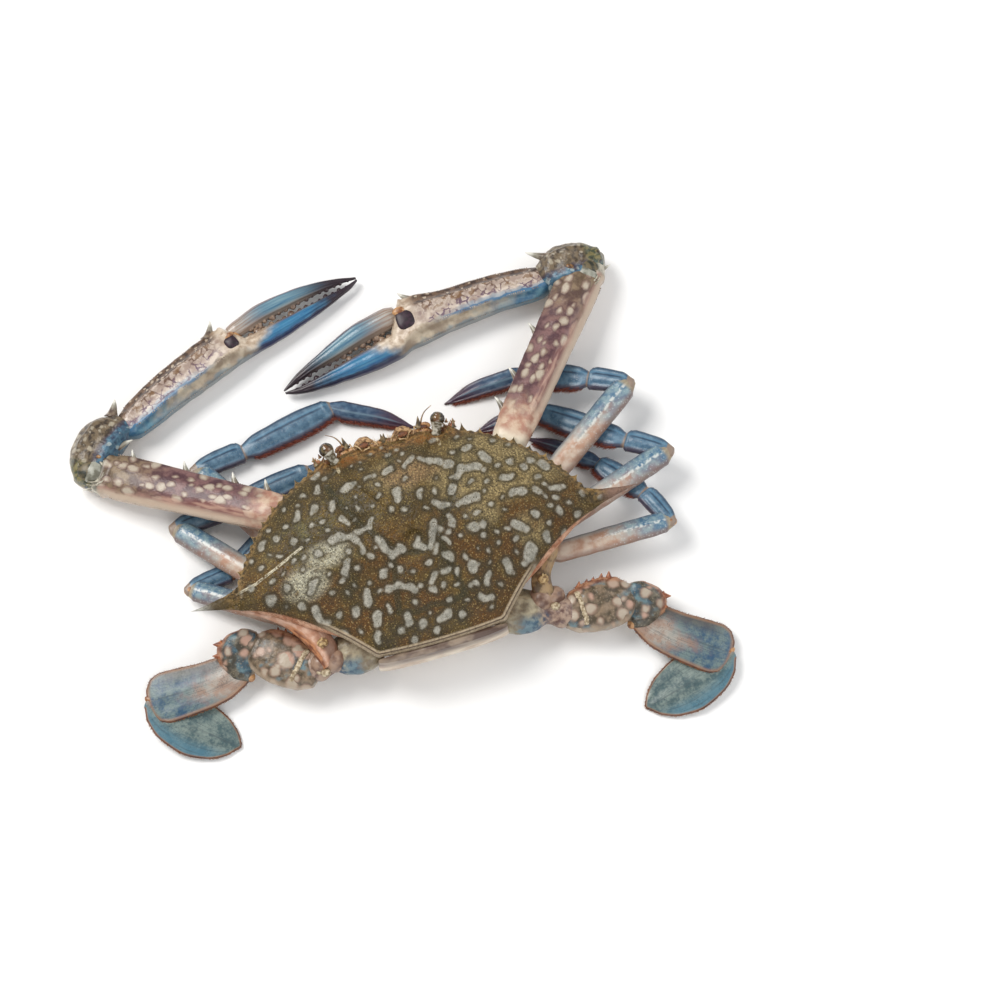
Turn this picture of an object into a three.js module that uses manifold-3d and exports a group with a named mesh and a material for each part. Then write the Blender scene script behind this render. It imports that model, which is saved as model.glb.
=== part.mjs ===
// Blue swimming crab (Portunus), an adult male at life size, laid out flat on its underside.
// Millimetres. +X is the crab's right, +Y the way its eyes look, +Z up. The origin is on the
// ground under the middle of the body, in the flat of the breast plate.
import * as THREE from 'three';
import { mergeVertices } from 'three/addons/utils/BufferGeometryUtils.js';
import Module from 'manifold-3d';

const wasm = await Module();
wasm.setup();

// ---- driving dimensions -------------------------------------------------------------------
const SHELL_HALF_WIDTH = 75.3; // middle of the back to the tip of a ninth spine
const SHELL_FRONT = 31.6; // y of the brow between its teeth
const SHELL_REAR = -37.6; // y of the middle of the rear rim
const SHELL_MIDDLE = -2; // y of the crown of the back
const MARGIN_HEIGHT = 24.8; // the toothed edge above the ground
const DOME_RISE = 12; // crown of the back above the toothed edge
const SHELL_FLOOR = 14.3; // underside of the shell over the breast
const BREAST_TOP = 14;
const BREAST = { x: 31, y: 28.5, middle: -8 }; // half sizes of the breast and its middle
const GAP = 0.34; // clearance where two pieces meet
const EDGE = 1.3; // thickness of the shell at its rim

const WALKING_GIRTH = { 2: 1, 3: 0.97, 4: 0.88 };

// Each limb: where it leaves the body and where its upper leg starts, then for each length
// of it from there on the size, the compass heading (degrees, 0 straight out from the body
// and 90 forward) and the height of its far joint. The two sides differ as they lie, and
// the right front legs are a little shorter, as regrown ones are.
const POSE = {
  left: {
    claw: {
      root: [19, 8.5, 11],
      hip: [33.3, 15.8, 19.4],
      lengths: [72, 17.5, 47.9, 46.9],
      headings: [31.8, 133, 155.3, 167.5],
      heights: [7.4, 6, 5.4, 3.4],
    },
    leg2: {
      root: [27, 1.5, 9],
      hip: [38, 4, 11.4],
      lengths: [48, 16.5, 33.3, 28.4],
      headings: [60.3, 172, 168, 209],
      heights: [4.8, 3.4, 2.6, 0.4],
    },
    leg3: {
      root: [28, -7, 8.5],
      hip: [41.9, -8, 11],
      lengths: [48.4, 15.5, 32.8, 25],
      headings: [48.9, 174, 170, 198],
      heights: [4.4, 2.5, 2.1, 0.3],
    },
    leg4: {
      root: [27, -16, 8.5],
      hip: [39.8, -16.8, 10.8],
      lengths: [42, 14, 23, 24],
      headings: [34.5, 171.5, 150, 173],
      heights: [4.4, 2.4, 1.9, 0.3],
    },
    swim: {
      root: [20, -30, 12],
      hip: [44.9, -31.3, 10],
      lengths: [19.6, 9.4, 32, 32],
      headings: [42, -61, 0.5, -137],
      heights: [8.6, 6, 3.7, 0.9],
    },
  },
  right: {
    claw: {
      root: [19, 8.5, 11],
      hip: [37.9, 19.6, 19.2],
      lengths: [75, 15, 51.8, 45.3],
      headings: [51.2, 180.5, 181.6, 194.8],
      heights: [7.4, 6, 5.4, 3.4],
    },
    leg2: {
      root: [27, 1.5, 9],
      hip: [44, 4, 11.4],
      lengths: [48.6, 13.6, 23.6, 28],
      headings: [34.4, 152, 153, 184.6],
      heights: [13, 9.5, 3, 0.4],
    },
    leg3: {
      root: [28, -7, 8.5],
      hip: [44, -9, 11],
      lengths: [48, 14.5, 31.6, 22.5],
      headings: [17.6, 146, 140.5, 180],
      heights: [12.5, 10, 3, 0.3],
    },
    leg4: {
      root: [27, -16, 8.5],
      hip: [42, -17, 10.8],
      lengths: [41.6, 13.2, 20, 25.5],
      headings: [-0.2, 113, 125, 141.8],
      heights: [11.2, 9, 3.2, 0.3],
    },
    swim: {
      root: [20, -30.8, 12],
      hip: [45.1, -37.7, 10],
      lengths: [19.4, 8.3, 31.7, 31.8],
      headings: [0.5, -96.5, -35.3, -162.9],
      heights: [8.6, 6, 3.7, 0.9],
    },
  },
};

// How far each claw's wrist swings to its outer side, and the root and tip of its spine as
// [share of the length, distance towards the body].
const WRIST = {
  left: { swing: -4.3, spineRoot: [1.14, -5.8], spineTip: [1.42, -7.1] },
  right: { swing: -1.3, spineRoot: [0.76, -6.1], spineTip: [1.26, -10.1] },
};

// Profiles: rows of [share of the length, half width, half thickness, shift towards the
// bending side]. Widths are for the second walking legs and scale with a leg's girth.
const PROFILE = {
  clawHip: [[0, 5, 4.6], [0.5, 6.1, 5.6], [1, 4.6, 4.2]],
  clawMerus: [[0, 4.2, 3.8], [0.06, 6, 4.8], [0.5, 6.7, 5], [0.86, 7.3, 5.7], [1.03, 4.6, 3.8]],
  clawCarpus: [
    [-0.3, 4.6, 4.2, 0.4], [0, 6.6, 6, 0.9], [0.4, 7.6, 7.4, 1], [0.8, 7.2, 6.8, 0.8],
    [1.1, 4.8, 4.6, 0.3],
  ],
  palm_left: [
    [-0.02, 3.6, 3.4, 0.2], [0.06, 5.2, 4.6, 0.2], [0.4, 6.3, 5.4, -0.5], [0.8, 6.9, 5.7, 0.2],
    [0.98, 7.1, 5.4, 0.9],
  ],
  palm_right: [
    [-0.02, 3.7, 3.6, 0.6], [0.06, 5.5, 4.8, 0.8], [0.35, 5.9, 5.5, -0.2], [0.7, 6.7, 5.8, 0.3],
    [0.86, 8.1, 5.8, 0.6], [0.98, 9, 5.4, 0.8],
  ],
  pollex_left: [
    [0.04, 3.6, 3.2, 4.3], [0.3, 3.7, 2.9, 3.5], [0.58, 2.8, 2.4, 2.6], [0.8, 1.7, 1.7, 1.9],
    [0.93, 0.9, 1, 1.2], [1, 0.35, 0.4, 0.4],
  ],
  pollex_right: [
    [0.04, 4.7, 4.2, 6.1], [0.3, 4.3, 3.8, 5.6], [0.58, 3.1, 2.9, 4.3], [0.8, 2, 2, 3],
    [0.93, 1.1, 1.2, 1.7], [1, 0.4, 0.45, 0.5],
  ],
  dactyl_left: [
    [0, 2.2, 2.1, -3], [0.06, 3.1, 2.7, -2.9], [0.29, 3.5, 2.7, -4.2], [0.48, 3.1, 2.4, -4.2],
    [0.69, 2.3, 1.8, -3.5], [0.87, 1.3, 1.2, -2.1], [1, 0.35, 0.4, -0.5],
  ],
  dactyl_right: [
    [0, 3, 2.9, -3.8], [0.06, 4.1, 3.7, -3.6], [0.29, 4.2, 3.6, -4], [0.48, 3.6, 3, -3.4],
    [0.69, 2.5, 2.2, -2.7], [0.87, 1.4, 1.4, -1.8], [1, 0.35, 0.4, -0.6],
  ],
  walkingHip: [[0, 3.9, 3.4], [0.7, 3.9, 3.2], [1, 2.6, 2.2]],
  walkingMerus: [[0, 2.4, 1.7], [0.09, 4, 2.3], [0.8, 4.3, 2.3], [0.96, 3.8, 2.1], [1.03, 2.4, 1.5]],
  walkingCarpus: [[-0.12, 2, 1.4], [0.2, 3.6, 2, -0.4], [0.8, 4, 2.1, -0.6], [1.02, 2.6, 1.5]],
  walkingPropodus: [
    [-0.02, 2.3, 1.5], [0.16, 4.2, 2], [0.6, 4.85, 2.1], [0.93, 3.7, 1.8], [1.01, 2.3, 1.2],
  ],
  walkingDactyl: [[-0.02, 2, 1.3], [0.14, 3.4, 1.6], [0.6, 2.9, 1.3, -0.7], [1, 0.35, 0.35]],
  swimHip: [[0, 6.4, 5], [0.28, 7.4, 5.2], [0.5, 6.2, 4.8], [0.64, 3.9, 3.5], [0.82, 5.3, 4.2], [1, 3.8, 3.2]],
  swimMerus: [[-0.22, 3.6, 2.8, -1], [0, 7.2, 4.2], [0.5, 8.5, 4.7], [0.82, 7.2, 4.1], [1, 4.4, 3]],
  swimCarpus: [
    [-0.45, 3, 2.6, 2.4], [-0.15, 5.4, 3.6, 3.8], [0.3, 6.5, 3.9, 4.4], [0.8, 6, 3.4, 3.6],
    [1.2, 3.6, 2.2, 1.6],
  ],
  swimPropodus: [
    [-0.06, 2.8, 1, 1.4], [0.06, 5.4, 1.3, 1.3], [0.25, 7.4, 1.5, 0.6], [0.5, 8, 1.5], [0.85, 8.6, 1.4],
    [0.97, 7.4, 1.2], [1.03, 4.8, 0.9],
  ],
  paddle: [
    [-0.04, 2.6, 0.7, 0.8], [0.05, 5.8, 0.9, 1], [0.25, 8.7, 1.05, 1.3], [0.5, 9.6, 1, 1.4],
    [0.75, 7.8, 0.85, 1.1], [0.92, 4.4, 0.7, 0.6], [1, 1.2, 0.5],
  ],
};

const COLOUR = {
  shell: 0x6d5c3b,
  belly: 0xe6ddd0,
  eye: 0x3a2c1c,
  feeler: 0x8a6a48,
  mouth: 0xcdbba6,
  claw: 0x8d7078,
  palm: 0xb7a89a,
  finger: 0x2f6f9c,
  leg: 0xd8c3b5,
  blue: 0x3f6f9b,
  swimmer: 0x74705c,
  blade: 0x7d9aa8,
};

// ---- making and joining solids -------------------------------------------------------------
const radians = THREE.MathUtils.degToRad;

function superellipse(angle, power) {
  const c = Math.cos(angle);
  const s = Math.sin(angle);
  return [
    Math.sign(c) * Math.abs(c) ** (2 / power),
    Math.sign(s) * Math.abs(s) ** (2 / power),
  ];
}

function ring(centre, across, up, sides, power = 2.4) {
  const points = [];
  for (let i = 0; i < sides; i += 1) {
    const [c, s] = superellipse((2 * Math.PI * (i + 0.5)) / sides, power);
    points.push(centre.clone().addScaledVector(across, c).addScaledVector(up, s));
  }
  return points;
}

function average(points) {
  const sum = new THREE.Vector3();
  points.forEach((p) => sum.add(p));
  return sum.divideScalar(points.length);
}

// A closed skin over rings of equal count, with a fan over each end, as a solid.
function skin(rings) {
  const sides = rings[0].length;
  const points = rings.flat();
  const start = points.push(average(rings[0])) - 1;
  const end = points.push(average(rings[rings.length - 1])) - 1;
  const faces = [];
  for (let j = 0; j < sides; j += 1) {
    const k = (j + 1) % sides;
    for (let i = 0; i + 1 < rings.length; i += 1) {
      const a = i * sides;
      const b = a + sides;
      faces.push(a + j, a + k, b + k, a + j, b + k, b + j);
    }
    const last = (rings.length - 1) * sides;
    faces.push(start, k, j, end, last + j, last + k);
  }
  return solid(points, faces);
}

function signedVolume(points, faces) {
  let volume = 0;
  for (let i = 0; i < faces.length; i += 3) {
    const [a, b, c] = [points[faces[i]], points[faces[i + 1]], points[faces[i + 2]]];
    volume += a.dot(b.clone().cross(c)) / 6;
  }
  return volume;
}

// Nothing reaches below the ground: what rests on it is flattened there.
function solid(points, faces) {
  const turned = signedVolume(points, faces) < 0 ? faces.slice().reverse() : faces;
  const vertProperties = new Float32Array(points.flatMap((p) => [p.x, p.y, Math.max(p.z, 0)]));
  const triVerts = new Uint32Array(turned);
  return new wasm.Manifold(new wasm.Mesh({ numProp: 3, vertProperties, triVerts }));
}

function geometryOf(body) {
  const mesh = body.getMesh();
  const geometry = new THREE.BufferGeometry();
  geometry.setAttribute('position', new THREE.BufferAttribute(mesh.vertProperties.slice(), 3));
  geometry.setIndex(new THREE.BufferAttribute(mesh.triVerts.slice(), 1));
  return mergeVertices(geometry, 1e-4);
}

// The same body with its surface moved out by the clearance.
function swollen(body) {
  const geometry = geometryOf(body);
  geometry.computeVertexNormals();
  const position = geometry.getAttribute('position');
  const normal = geometry.getAttribute('normal');
  const points = [];
  for (let i = 0; i < position.count; i += 1) {
    const outward = new THREE.Vector3().fromBufferAttribute(normal, i);
    points.push(new THREE.Vector3().fromBufferAttribute(position, i).addScaledVector(outward, GAP));
  }
  const vertProperties = new Float32Array(points.flatMap((p) => [p.x, p.y, p.z]));
  const triVerts = new Uint32Array(geometry.getIndex().array);
  return new wasm.Manifold(new wasm.Mesh({ numProp: 3, vertProperties, triVerts }));
}

function largestPart(body) {
  return body.decompose().sort((a, b) => b.volume() - a.volume())[0];
}

function cutFor(body, neighbours) {
  return largestPart(neighbours.reduce((rest, other) => rest.subtract(swollen(other)), body));
}

function spine(base, tip, radius, sides = 4) {
  const along = tip.clone().sub(base).normalize();
  const helper = Math.abs(along.z) > 0.9 ? new THREE.Vector3(1, 0, 0) : new THREE.Vector3(0, 0, 1);
  const across = helper.cross(along).normalize();
  const up = along.clone().cross(across);
  const circle = (centre, size) => {
    return ring(centre, across.clone().multiplyScalar(size), up.clone().multiplyScalar(size), sides, 2);
  };
  return skin([circle(base, radius), circle(tip, 0.22)]);
}

// ---- limb frames -----------------------------------------------------------------------------
// A frame runs from one joint to the next; fore is the side the limb bends towards.
function frameBetween(start, end, side) {
  const mirror = side === 'left' ? -1 : 1;
  const along = end.clone().sub(start).normalize();
  const fore = new THREE.Vector3(0, 0, mirror).cross(along).normalize();
  const up = new THREE.Vector3().crossVectors(along, fore).multiplyScalar(mirror);
  return { start, along, fore, up, length: start.distanceTo(end) };
}

function at(frame, share, aside = 0, rise = 0) {
  return frame.start.clone()
    .addScaledVector(frame.along, share * frame.length)
    .addScaledVector(frame.fore, aside)
    .addScaledVector(frame.up, rise);
}

function chain(side, limb) {
  const mirror = side === 'left' ? -1 : 1;
  const pose = POSE[side][limb];
  const point = ([x, y, z]) => new THREE.Vector3(mirror * x, y, z);
  const frames = [frameBetween(point(pose.root), point(pose.hip), side)];
  let start = point(pose.hip);
  pose.lengths.forEach((length, i) => {
    const drop = pose.heights[i] - start.z;
    const reach = Math.sqrt(length ** 2 - drop ** 2);
    const heading = radians(pose.headings[i]);
    const step = [mirror * reach * Math.cos(heading), reach * Math.sin(heading), drop];
    const end = new THREE.Vector3(...step).add(start);
    frames.push(frameBetween(start, end, side));
    start = end;
  });
  return frames;
}

function ringsAlong(frame, profile, girth = 1, sides = 8, power = 2.4) {
  return profile.map(([share, wide, thick, aside = 0]) => {
    const centre = at(frame, share, aside * girth);
    const across = frame.fore.clone().multiplyScalar(wide * girth);
    const up = frame.up.clone().multiplyScalar(thick * girth);
    return ring(centre, across, up, sides, power);
  });
}

function segment(frame, profile, girth, sides, power) {
  return skin(ringsAlong(frame, profile, girth, sides, power));
}

// ---- the shell of the back --------------------------------------------------------------------
const BROW_TEETH = [[2.2, 33.5], [6.7, 35], [12.2, 35.3]];
const BROW_NOTCHES = [4.5, 9.5];
const SOCKET = { x: 18.4, y: 32.4, radius: 4.3, from: 205, to: 335, steps: 4 };
const SIDE_TEETH = 8;
const SIDE_EDGE = [[24.4, 28.6], [46, 20.6], [58.4, -1.6]];
const FLANK_EDGE = [[60, -9.4], [42, -13.6], [22, SHELL_REAR + 1.1]];
const FLANK_STEPS = 5;
const NINTH_SPINE = [[66, -4.1], [SHELL_HALF_WIDTH, -5.3], [66, -7.5]];
const RIM_STEPS = 3;

function bezier([a, b, c], t) {
  const s = 1 - t;
  return [0, 1].map((i) => s * s * a[i] + 2 * s * t * b[i] + t * t * c[i]);
}

// One side of the shell's outline from the brow to the rear rim: each point has the place of
// the tooth's outer edge and the place on the smooth edge that the teeth grow from.
function halfOutline() {
  const points = [];
  const add = (tip, root = tip) => points.push({ tip, root });
  add([0, SHELL_FRONT]);
  BROW_TEETH.forEach(([x, y], i) => {
    add([x, y], [x, SHELL_FRONT]);
    if (i < BROW_NOTCHES.length) add([BROW_NOTCHES[i], SHELL_FRONT + 0.3]);
  });
  for (let i = 0; i <= SOCKET.steps; i += 1) {
    const angle = radians(SOCKET.from + ((SOCKET.to - SOCKET.from) * i) / SOCKET.steps);
    add([SOCKET.x + SOCKET.radius * Math.cos(angle), SOCKET.y + SOCKET.radius * Math.sin(angle)]);
  }
  for (let k = 0; k < SIDE_TEETH; k += 1) {
    const size = k === 0 ? 3.4 : 2.7;
    const tip = bezier(SIDE_EDGE, (k + 0.25) / SIDE_TEETH);
    const turn = radians(85 - (60 * k) / SIDE_TEETH);
    add([tip[0] + size * Math.cos(turn), tip[1] + size * Math.sin(turn)], tip);
    add(bezier(SIDE_EDGE, (k + 1) / SIDE_TEETH));
  }
  NINTH_SPINE.forEach((tip, i) => add(tip, [59.2, -3.4 - 2 * i]));
  for (let i = 0; i <= FLANK_STEPS; i += 1) add(bezier(FLANK_EDGE, i / FLANK_STEPS));
  for (let i = 1; i <= RIM_STEPS; i += 1) {
    const x = FLANK_EDGE[2][0] * (1 - i / RIM_STEPS);
    add([x, SHELL_REAR + 1.1 * (x / FLANK_EDGE[2][0]) ** 2]);
  }
  return points;
}

function outline() {
  const right = halfOutline();
  const flip = ([x, y]) => [-x, y];
  const left = right.slice(1, -1).reverse().map(({ tip, root }) => ({ tip: flip(tip), root: flip(root) }));
  return [...right, ...left];
}

function hump(x, y, [cx, cy, rx, ry, rise]) {
  return rise * Math.exp(-(((Math.abs(x) - cx) / rx) ** 2) - ((y - cy) / ry) ** 2);
}

// Swellings over the gills, the stomach and the heart, and the hollows between them.
const HUMPS = [[28, -8, 14, 11, 1], [9, 10, 9, 9, 0.7], [0, -18, 9, 8, 0.8], [15, -4, 4, 12, -1]];

function rimHeight(y) {
  const rear = THREE.MathUtils.smoothstep(-y, 14, 37);
  return MARGIN_HEIGHT + 0.6 * THREE.MathUtils.smoothstep(y, 20, 33) - 2 * rear;
}

function backHeight(x, y, edgeY, share) {
  const dome = DOME_RISE * (1 - share ** 2.4) ** 0.8;
  const relief = HUMPS.reduce((sum, h) => sum + hump(x, y, h), 0) * (1 - share ** 4);
  return rimHeight(edgeY) + dome + relief;
}

// How far in the underside draws before it meets the breast: deep at the sides and front,
// hardly at all below the flanks, which fall straight down.
function undersideShare([x, y]) {
  const flank = THREE.MathUtils.smoothstep(-y, 4, 16);
  const front = THREE.MathUtils.smoothstep(y, 18, 32) * (Math.abs(x) < 26 ? 1 : 0.5);
  return THREE.MathUtils.lerp(0.56 + 0.16 * front, 0.93, flank);
}

function shell() {
  const points = outline();
  const place = ([x, y], share) => [x * share, SHELL_MIDDLE + (y - SHELL_MIDDLE) * share];
  const topRing = (share) => points.map(({ tip, root }) => {
    const [x, y] = share === 1 ? tip : place(root, share);
    return new THREE.Vector3(x, y, backHeight(x, y, root[1], share));
  });
  const under = (share, height) => points.map(({ root }) => {
    const [x, y] = place(root, share(root));
    return new THREE.Vector3(x, y, height(root));
  });
  return skin([
    under(undersideShare, () => SHELL_FLOOR),
    under(() => 0.985, ([, y]) => rimHeight(y) - EDGE),
    topRing(1), topRing(0.95), topRing(0.74), topRing(0.42),
  ]);
}

// ---- body below the shell ---------------------------------------------------------------------
function breast() {
  const levels = [[0, 0.8], [3.5, 0.95], [BREAST_TOP, 1]];
  return skin(levels.map(([z, share]) => ring(
    new THREE.Vector3(0, BREAST.middle, z),
    new THREE.Vector3(BREAST.x * share, 0, 0),
    new THREE.Vector3(0, BREAST.y * share, 0),
    16,
    2.8,
  )));
}

// The tail folds under the body: a narrow strip, flush with the breast, that widens, turns up round
// the rear and ends as the band below the rear rim of the shell.
const TAIL = { front: 9, turn: -27.5, radius: 11.2, top: 22, thick: 1.25, lift: 1.15, steps: 3 };

function tail() {
  const stations = [];
  const straight = [[0, 0.7], [0.1, 2.2], [0.2, 2.8], [0.62, 4.8], [1, 9.5]];
  straight.forEach(([share, wide]) => {
    const y = THREE.MathUtils.lerp(TAIL.front, TAIL.turn, share);
    stations.push({ y, z: TAIL.lift, slope: 0, wide });
  });
  for (let i = 1; i <= TAIL.steps; i += 1) {
    const angle = (i / TAIL.steps) * (Math.PI / 2);
    stations.push({
      y: TAIL.turn - TAIL.radius * Math.sin(angle),
      z: TAIL.lift + TAIL.radius * (1 - Math.cos(angle)),
      slope: angle,
      wide: 9.5 + (12.5 * i) / TAIL.steps,
    });
  }
  stations.push({ y: TAIL.turn - TAIL.radius + 0.5, z: TAIL.top, slope: Math.PI / 2, wide: 21.6 });
  return skin(stations.map(({ y, z, slope, wide }) => ring(
    new THREE.Vector3(0, y, z),
    new THREE.Vector3(wide, 0, 0),
    new THREE.Vector3(0, Math.sin(slope), Math.cos(slope)).multiplyScalar(TAIL.thick),
    8,
    3,
  )));
}

function mouthPlate(mirror) {
  const start = new THREE.Vector3(5.2 * mirror, 29.5, 18);
  const end = new THREE.Vector3(6.4 * mirror, 15.5, 3.4);
  const along = end.clone().sub(start).normalize();
  const across = new THREE.Vector3(1, 0, 0);
  const up = across.clone().cross(along).normalize();
  const rows = [[0, 3], [0.14, 4.5], [0.8, 4.4], [1, 3]];
  return skin(rows.map(([share, wide]) => ring(
    start.clone().lerp(end, share),
    across.clone().multiplyScalar(wide),
    up.clone().multiplyScalar(1.5),
    8,
    2.8,
  )));
}

// ---- eyes and feelers ---------------------------------------------------------------------------
const EYE = { base: [16.4, 28.4, 24.6], tip: [19.4, 36, 28.6], radius: 2.25 };

function eye(mirror) {
  const base = new THREE.Vector3(EYE.base[0] * mirror, EYE.base[1], EYE.base[2]);
  const tip = new THREE.Vector3(EYE.tip[0] * mirror, EYE.tip[1], EYE.tip[2]);
  const along = tip.clone().sub(base).normalize();
  const across = new THREE.Vector3(0, 0, 1).cross(along).normalize();
  const up = along.clone().cross(across);
  const rows = [[0, 0.72], [0.3, 0.66], [0.48, 0.8], [0.62, 1], [0.8, 1], [0.93, 0.68], [1, 0.25]];
  return skin(rows.map(([share, size]) => ring(
    base.clone().lerp(tip, share),
    across.clone().multiplyScalar(size * EYE.radius),
    up.clone().multiplyScalar(size * EYE.radius),
    8,
    2,
  )));
}

const FEELER = [
  [12.4, 30.6, 20.8],
  [13, 33.3, 22.6],
  [13.8, 35.9, 25],
  [15.8, 38.2, 27.8],
  [19, 39.2, 29.4],
];

function feeler(mirror) {
  const path = new THREE.CatmullRomCurve3(FEELER.map(([x, y, z]) => new THREE.Vector3(x * mirror, y, z)));
  const steps = 5;
  const rings = [];
  for (let i = 0; i <= steps; i += 1) {
    const share = i / steps;
    const along = path.getTangentAt(share);
    const across = new THREE.Vector3(0, 0, 1).cross(along).normalize();
    const up = along.clone().cross(across);
    const size = share < 0.35 ? 1.4 - 2.4 * share : 0.48 - 0.2 * share;
    rings.push(ring(path.getPointAt(share), across.multiplyScalar(size), up.multiplyScalar(size), 5, 2));
  }
  return skin(rings);
}

// ---- claws ----------------------------------------------------------------------------------------
const MERUS_SPINES = [0.17, 0.33, 0.57, 0.83];
const FINGER_TEETH = 5;
const TOOTH = { sunk: 0.8, reach: 0.9, radius: 1.2 };

function clawMerus(frame) {
  let body = segment(frame, PROFILE.clawMerus, 1, 10, 2.8);
  MERUS_SPINES.forEach((share) => {
    const base = at(frame, share - 0.01, 5, 1);
    const tip = at(frame, share + 0.035, 10.2, 2);
    body = body.add(spine(base, tip, 1.7));
  });
  return body;
}

function clawCarpus(side, frame) {
  const { swing, spineRoot, spineTip } = WRIST[side];
  const profile = PROFILE.clawCarpus.map(([share, wide, thick, out]) => [share, wide, thick, out * swing]);
  const body = segment(frame, profile, 1, 10, 2.3);
  return body.add(spine(at(frame, ...spineRoot, 2), at(frame, ...spineTip, 3), 1.9));
}

// Where the edge of a profile lies at a share of its length, on the fore side or the other.
function edgeOf(profile, share, direction) {
  const next = profile.findIndex(([end]) => end >= share);
  const [a, b] = [profile[next - 1], profile[next]];
  const mix = (share - a[0]) / (b[0] - a[0]);
  return THREE.MathUtils.lerp(a[3] + direction * a[1], b[3] + direction * b[1], mix);
}

function withTeeth(body, frame, profile, first, direction) {
  let toothed = body;
  for (let i = 0; i < FINGER_TEETH; i += 1) {
    const share = first + (0.78 * i) / FINGER_TEETH;
    const edge = edgeOf(profile, share, direction);
    const root = at(frame, share, edge - direction * TOOTH.sunk);
    toothed = toothed.add(spine(root, at(frame, share, edge + direction * TOOTH.reach), TOOTH.radius));
  }
  return toothed;
}

// The palm with its fixed finger, on the side towards the body.
function palm(side, palmFrame, fingerFrame) {
  const finger = PROFILE[`pollex_${side}`];
  const body = skin([
    ...ringsAlong(palmFrame, PROFILE[`palm_${side}`], 1, 10, 2.5),
    ...ringsAlong(fingerFrame, finger, 1, 10, 2.3),
  ]);
  const crest = spine(at(palmFrame, 0.88, -6, 1.5), at(palmFrame, 0.96, -10.2, 2.4), 1.7);
  return withTeeth(body.add(crest), fingerFrame, finger, 0.13, -1);
}

function clawDactyl(side, frame) {
  const profile = PROFILE[`dactyl_${side}`];
  return withTeeth(segment(frame, profile, 1, 10, 2.3), frame, profile, 0.19, 1);
}

function claw(side) {
  const [hip, merus, carpus, palmFrame, finger] = chain(side, 'claw');
  const parts = {
    hip: segment(hip, PROFILE.clawHip, 1, 6, 2.3),
    merus: clawMerus(merus),
    carpus: clawCarpus(side, carpus),
    palm: palm(side, palmFrame, finger),
    dactyl: clawDactyl(side, finger),
  };
  parts.hip = cutFor(parts.hip, [parts.merus]);
  parts.merus = cutFor(parts.merus, [parts.carpus]);
  parts.carpus = cutFor(parts.carpus, [parts.palm]);
  parts.dactyl = cutFor(parts.dactyl, [parts.palm]);
  return parts;
}

// ---- walking and swimming legs --------------------------------------------------------------------
const WALKING_PARTS = ['hip', 'merus', 'carpus', 'propodus', 'dactyl'];
const WALKING_PROFILES = WALKING_PARTS.map((name) => `walking${name[0].toUpperCase()}${name.slice(1)}`);
const SWIMMING_PARTS = ['hip', 'merus', 'carpus', 'propodus', 'paddle'];
const SWIMMING_PROFILES = ['swimHip', 'swimMerus', 'swimCarpus', 'swimPropodus', 'paddle'];

function leg(frames, partNames, profileNames, girth, sides) {
  const parts = {};
  partNames.forEach((name, i) => {
    parts[name] = segment(frames[i], PROFILE[profileNames[i]], girth, sides, 2.5);
  });
  partNames.slice(0, -1).forEach((name, i) => {
    parts[name] = cutFor(parts[name], [parts[partNames[i + 1]]]);
  });
  return parts;
}

function walkingLeg(side, rank) {
  return leg(chain(side, `leg${rank}`), WALKING_PARTS, WALKING_PROFILES, WALKING_GIRTH[rank], 7);
}

// The blade is folded back flat under the broad propodus.
function swimmingLeg(side) {
  return leg(chain(side, 'swim'), SWIMMING_PARTS, SWIMMING_PROFILES, 1, 8);
}

// ---- putting the crab together ----------------------------------------------------------------------
function named(name, body, colour, roughness = 0.5) {
  const geometry = geometryOf(body);
  geometry.computeBoundingBox();
  const middle = geometry.boundingBox.getCenter(new THREE.Vector3());
  geometry.translate(-middle.x, -middle.y, -middle.z);
  const material = new THREE.MeshStandardMaterial({ color: colour, roughness, metalness: 0 });
  const mesh = new THREE.Mesh(geometry, material);
  mesh.name = name;
  mesh.position.copy(middle);
  return mesh;
}

const crab = new THREE.Group();
const body = new THREE.Group();
crab.add(body);

const limbs = {};
['left', 'right'].forEach((side) => {
  limbs[`claw_${side}`] = claw(side);
  Object.keys(WALKING_GIRTH).forEach((rank) => {
    limbs[`leg${rank}_${side}`] = walkingLeg(side, rank);
  });
  limbs[`swim_${side}`] = swimmingLeg(side);
});

const eyes = { left: eye(-1), right: eye(1) };
const feelers = { left: feeler(-1), right: feeler(1) };
const mouth = { left: mouthPlate(-1), right: mouthPlate(1) };
const bases = ['left', 'right'].map((side) => limbs[`claw_${side}`].merus);
const hips = Object.values(limbs).map((parts) => parts.hip);
const back = cutFor(shell(), [eyes.left, eyes.right, feelers.left, feelers.right, ...hips, ...bases]);
const fold = cutFor(tail(), [back]);
const plates = {
  left: cutFor(mouth.left, [back, feelers.left]),
  right: cutFor(mouth.right, [back, feelers.right]),
};
const plain = breast();
const thorax = cutFor(plain, [fold, plates.left, plates.right]);
Object.values(limbs).forEach((parts) => {
  parts.hip = cutFor(parts.hip, [plain]);
});

body.add(named('carapace', back, COLOUR.shell, 0.6));
body.add(named('thorax', thorax, COLOUR.belly));
body.add(named('abdomen', fold, COLOUR.belly));
['left', 'right'].forEach((side) => {
  body.add(named(`eye_${side}`, eyes[side], COLOUR.eye, 0.2));
  body.add(named(`antenna_${side}`, feelers[side], COLOUR.feeler));
  body.add(named(`maxilliped_${side}`, plates[side], COLOUR.mouth));
});

const TINT = {
  claw: {
    hip: COLOUR.belly,
    merus: COLOUR.claw,
    carpus: COLOUR.claw,
    palm: COLOUR.palm,
    dactyl: COLOUR.finger,
  },
  leg: {
    hip: COLOUR.belly,
    merus: COLOUR.leg,
    carpus: COLOUR.blue,
    propodus: COLOUR.blue,
    dactyl: COLOUR.blue,
  },
  swim: {
    hip: COLOUR.swimmer,
    merus: COLOUR.swimmer,
    carpus: COLOUR.swimmer,
    propodus: COLOUR.blade,
    paddle: COLOUR.blade,
  },
};

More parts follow.
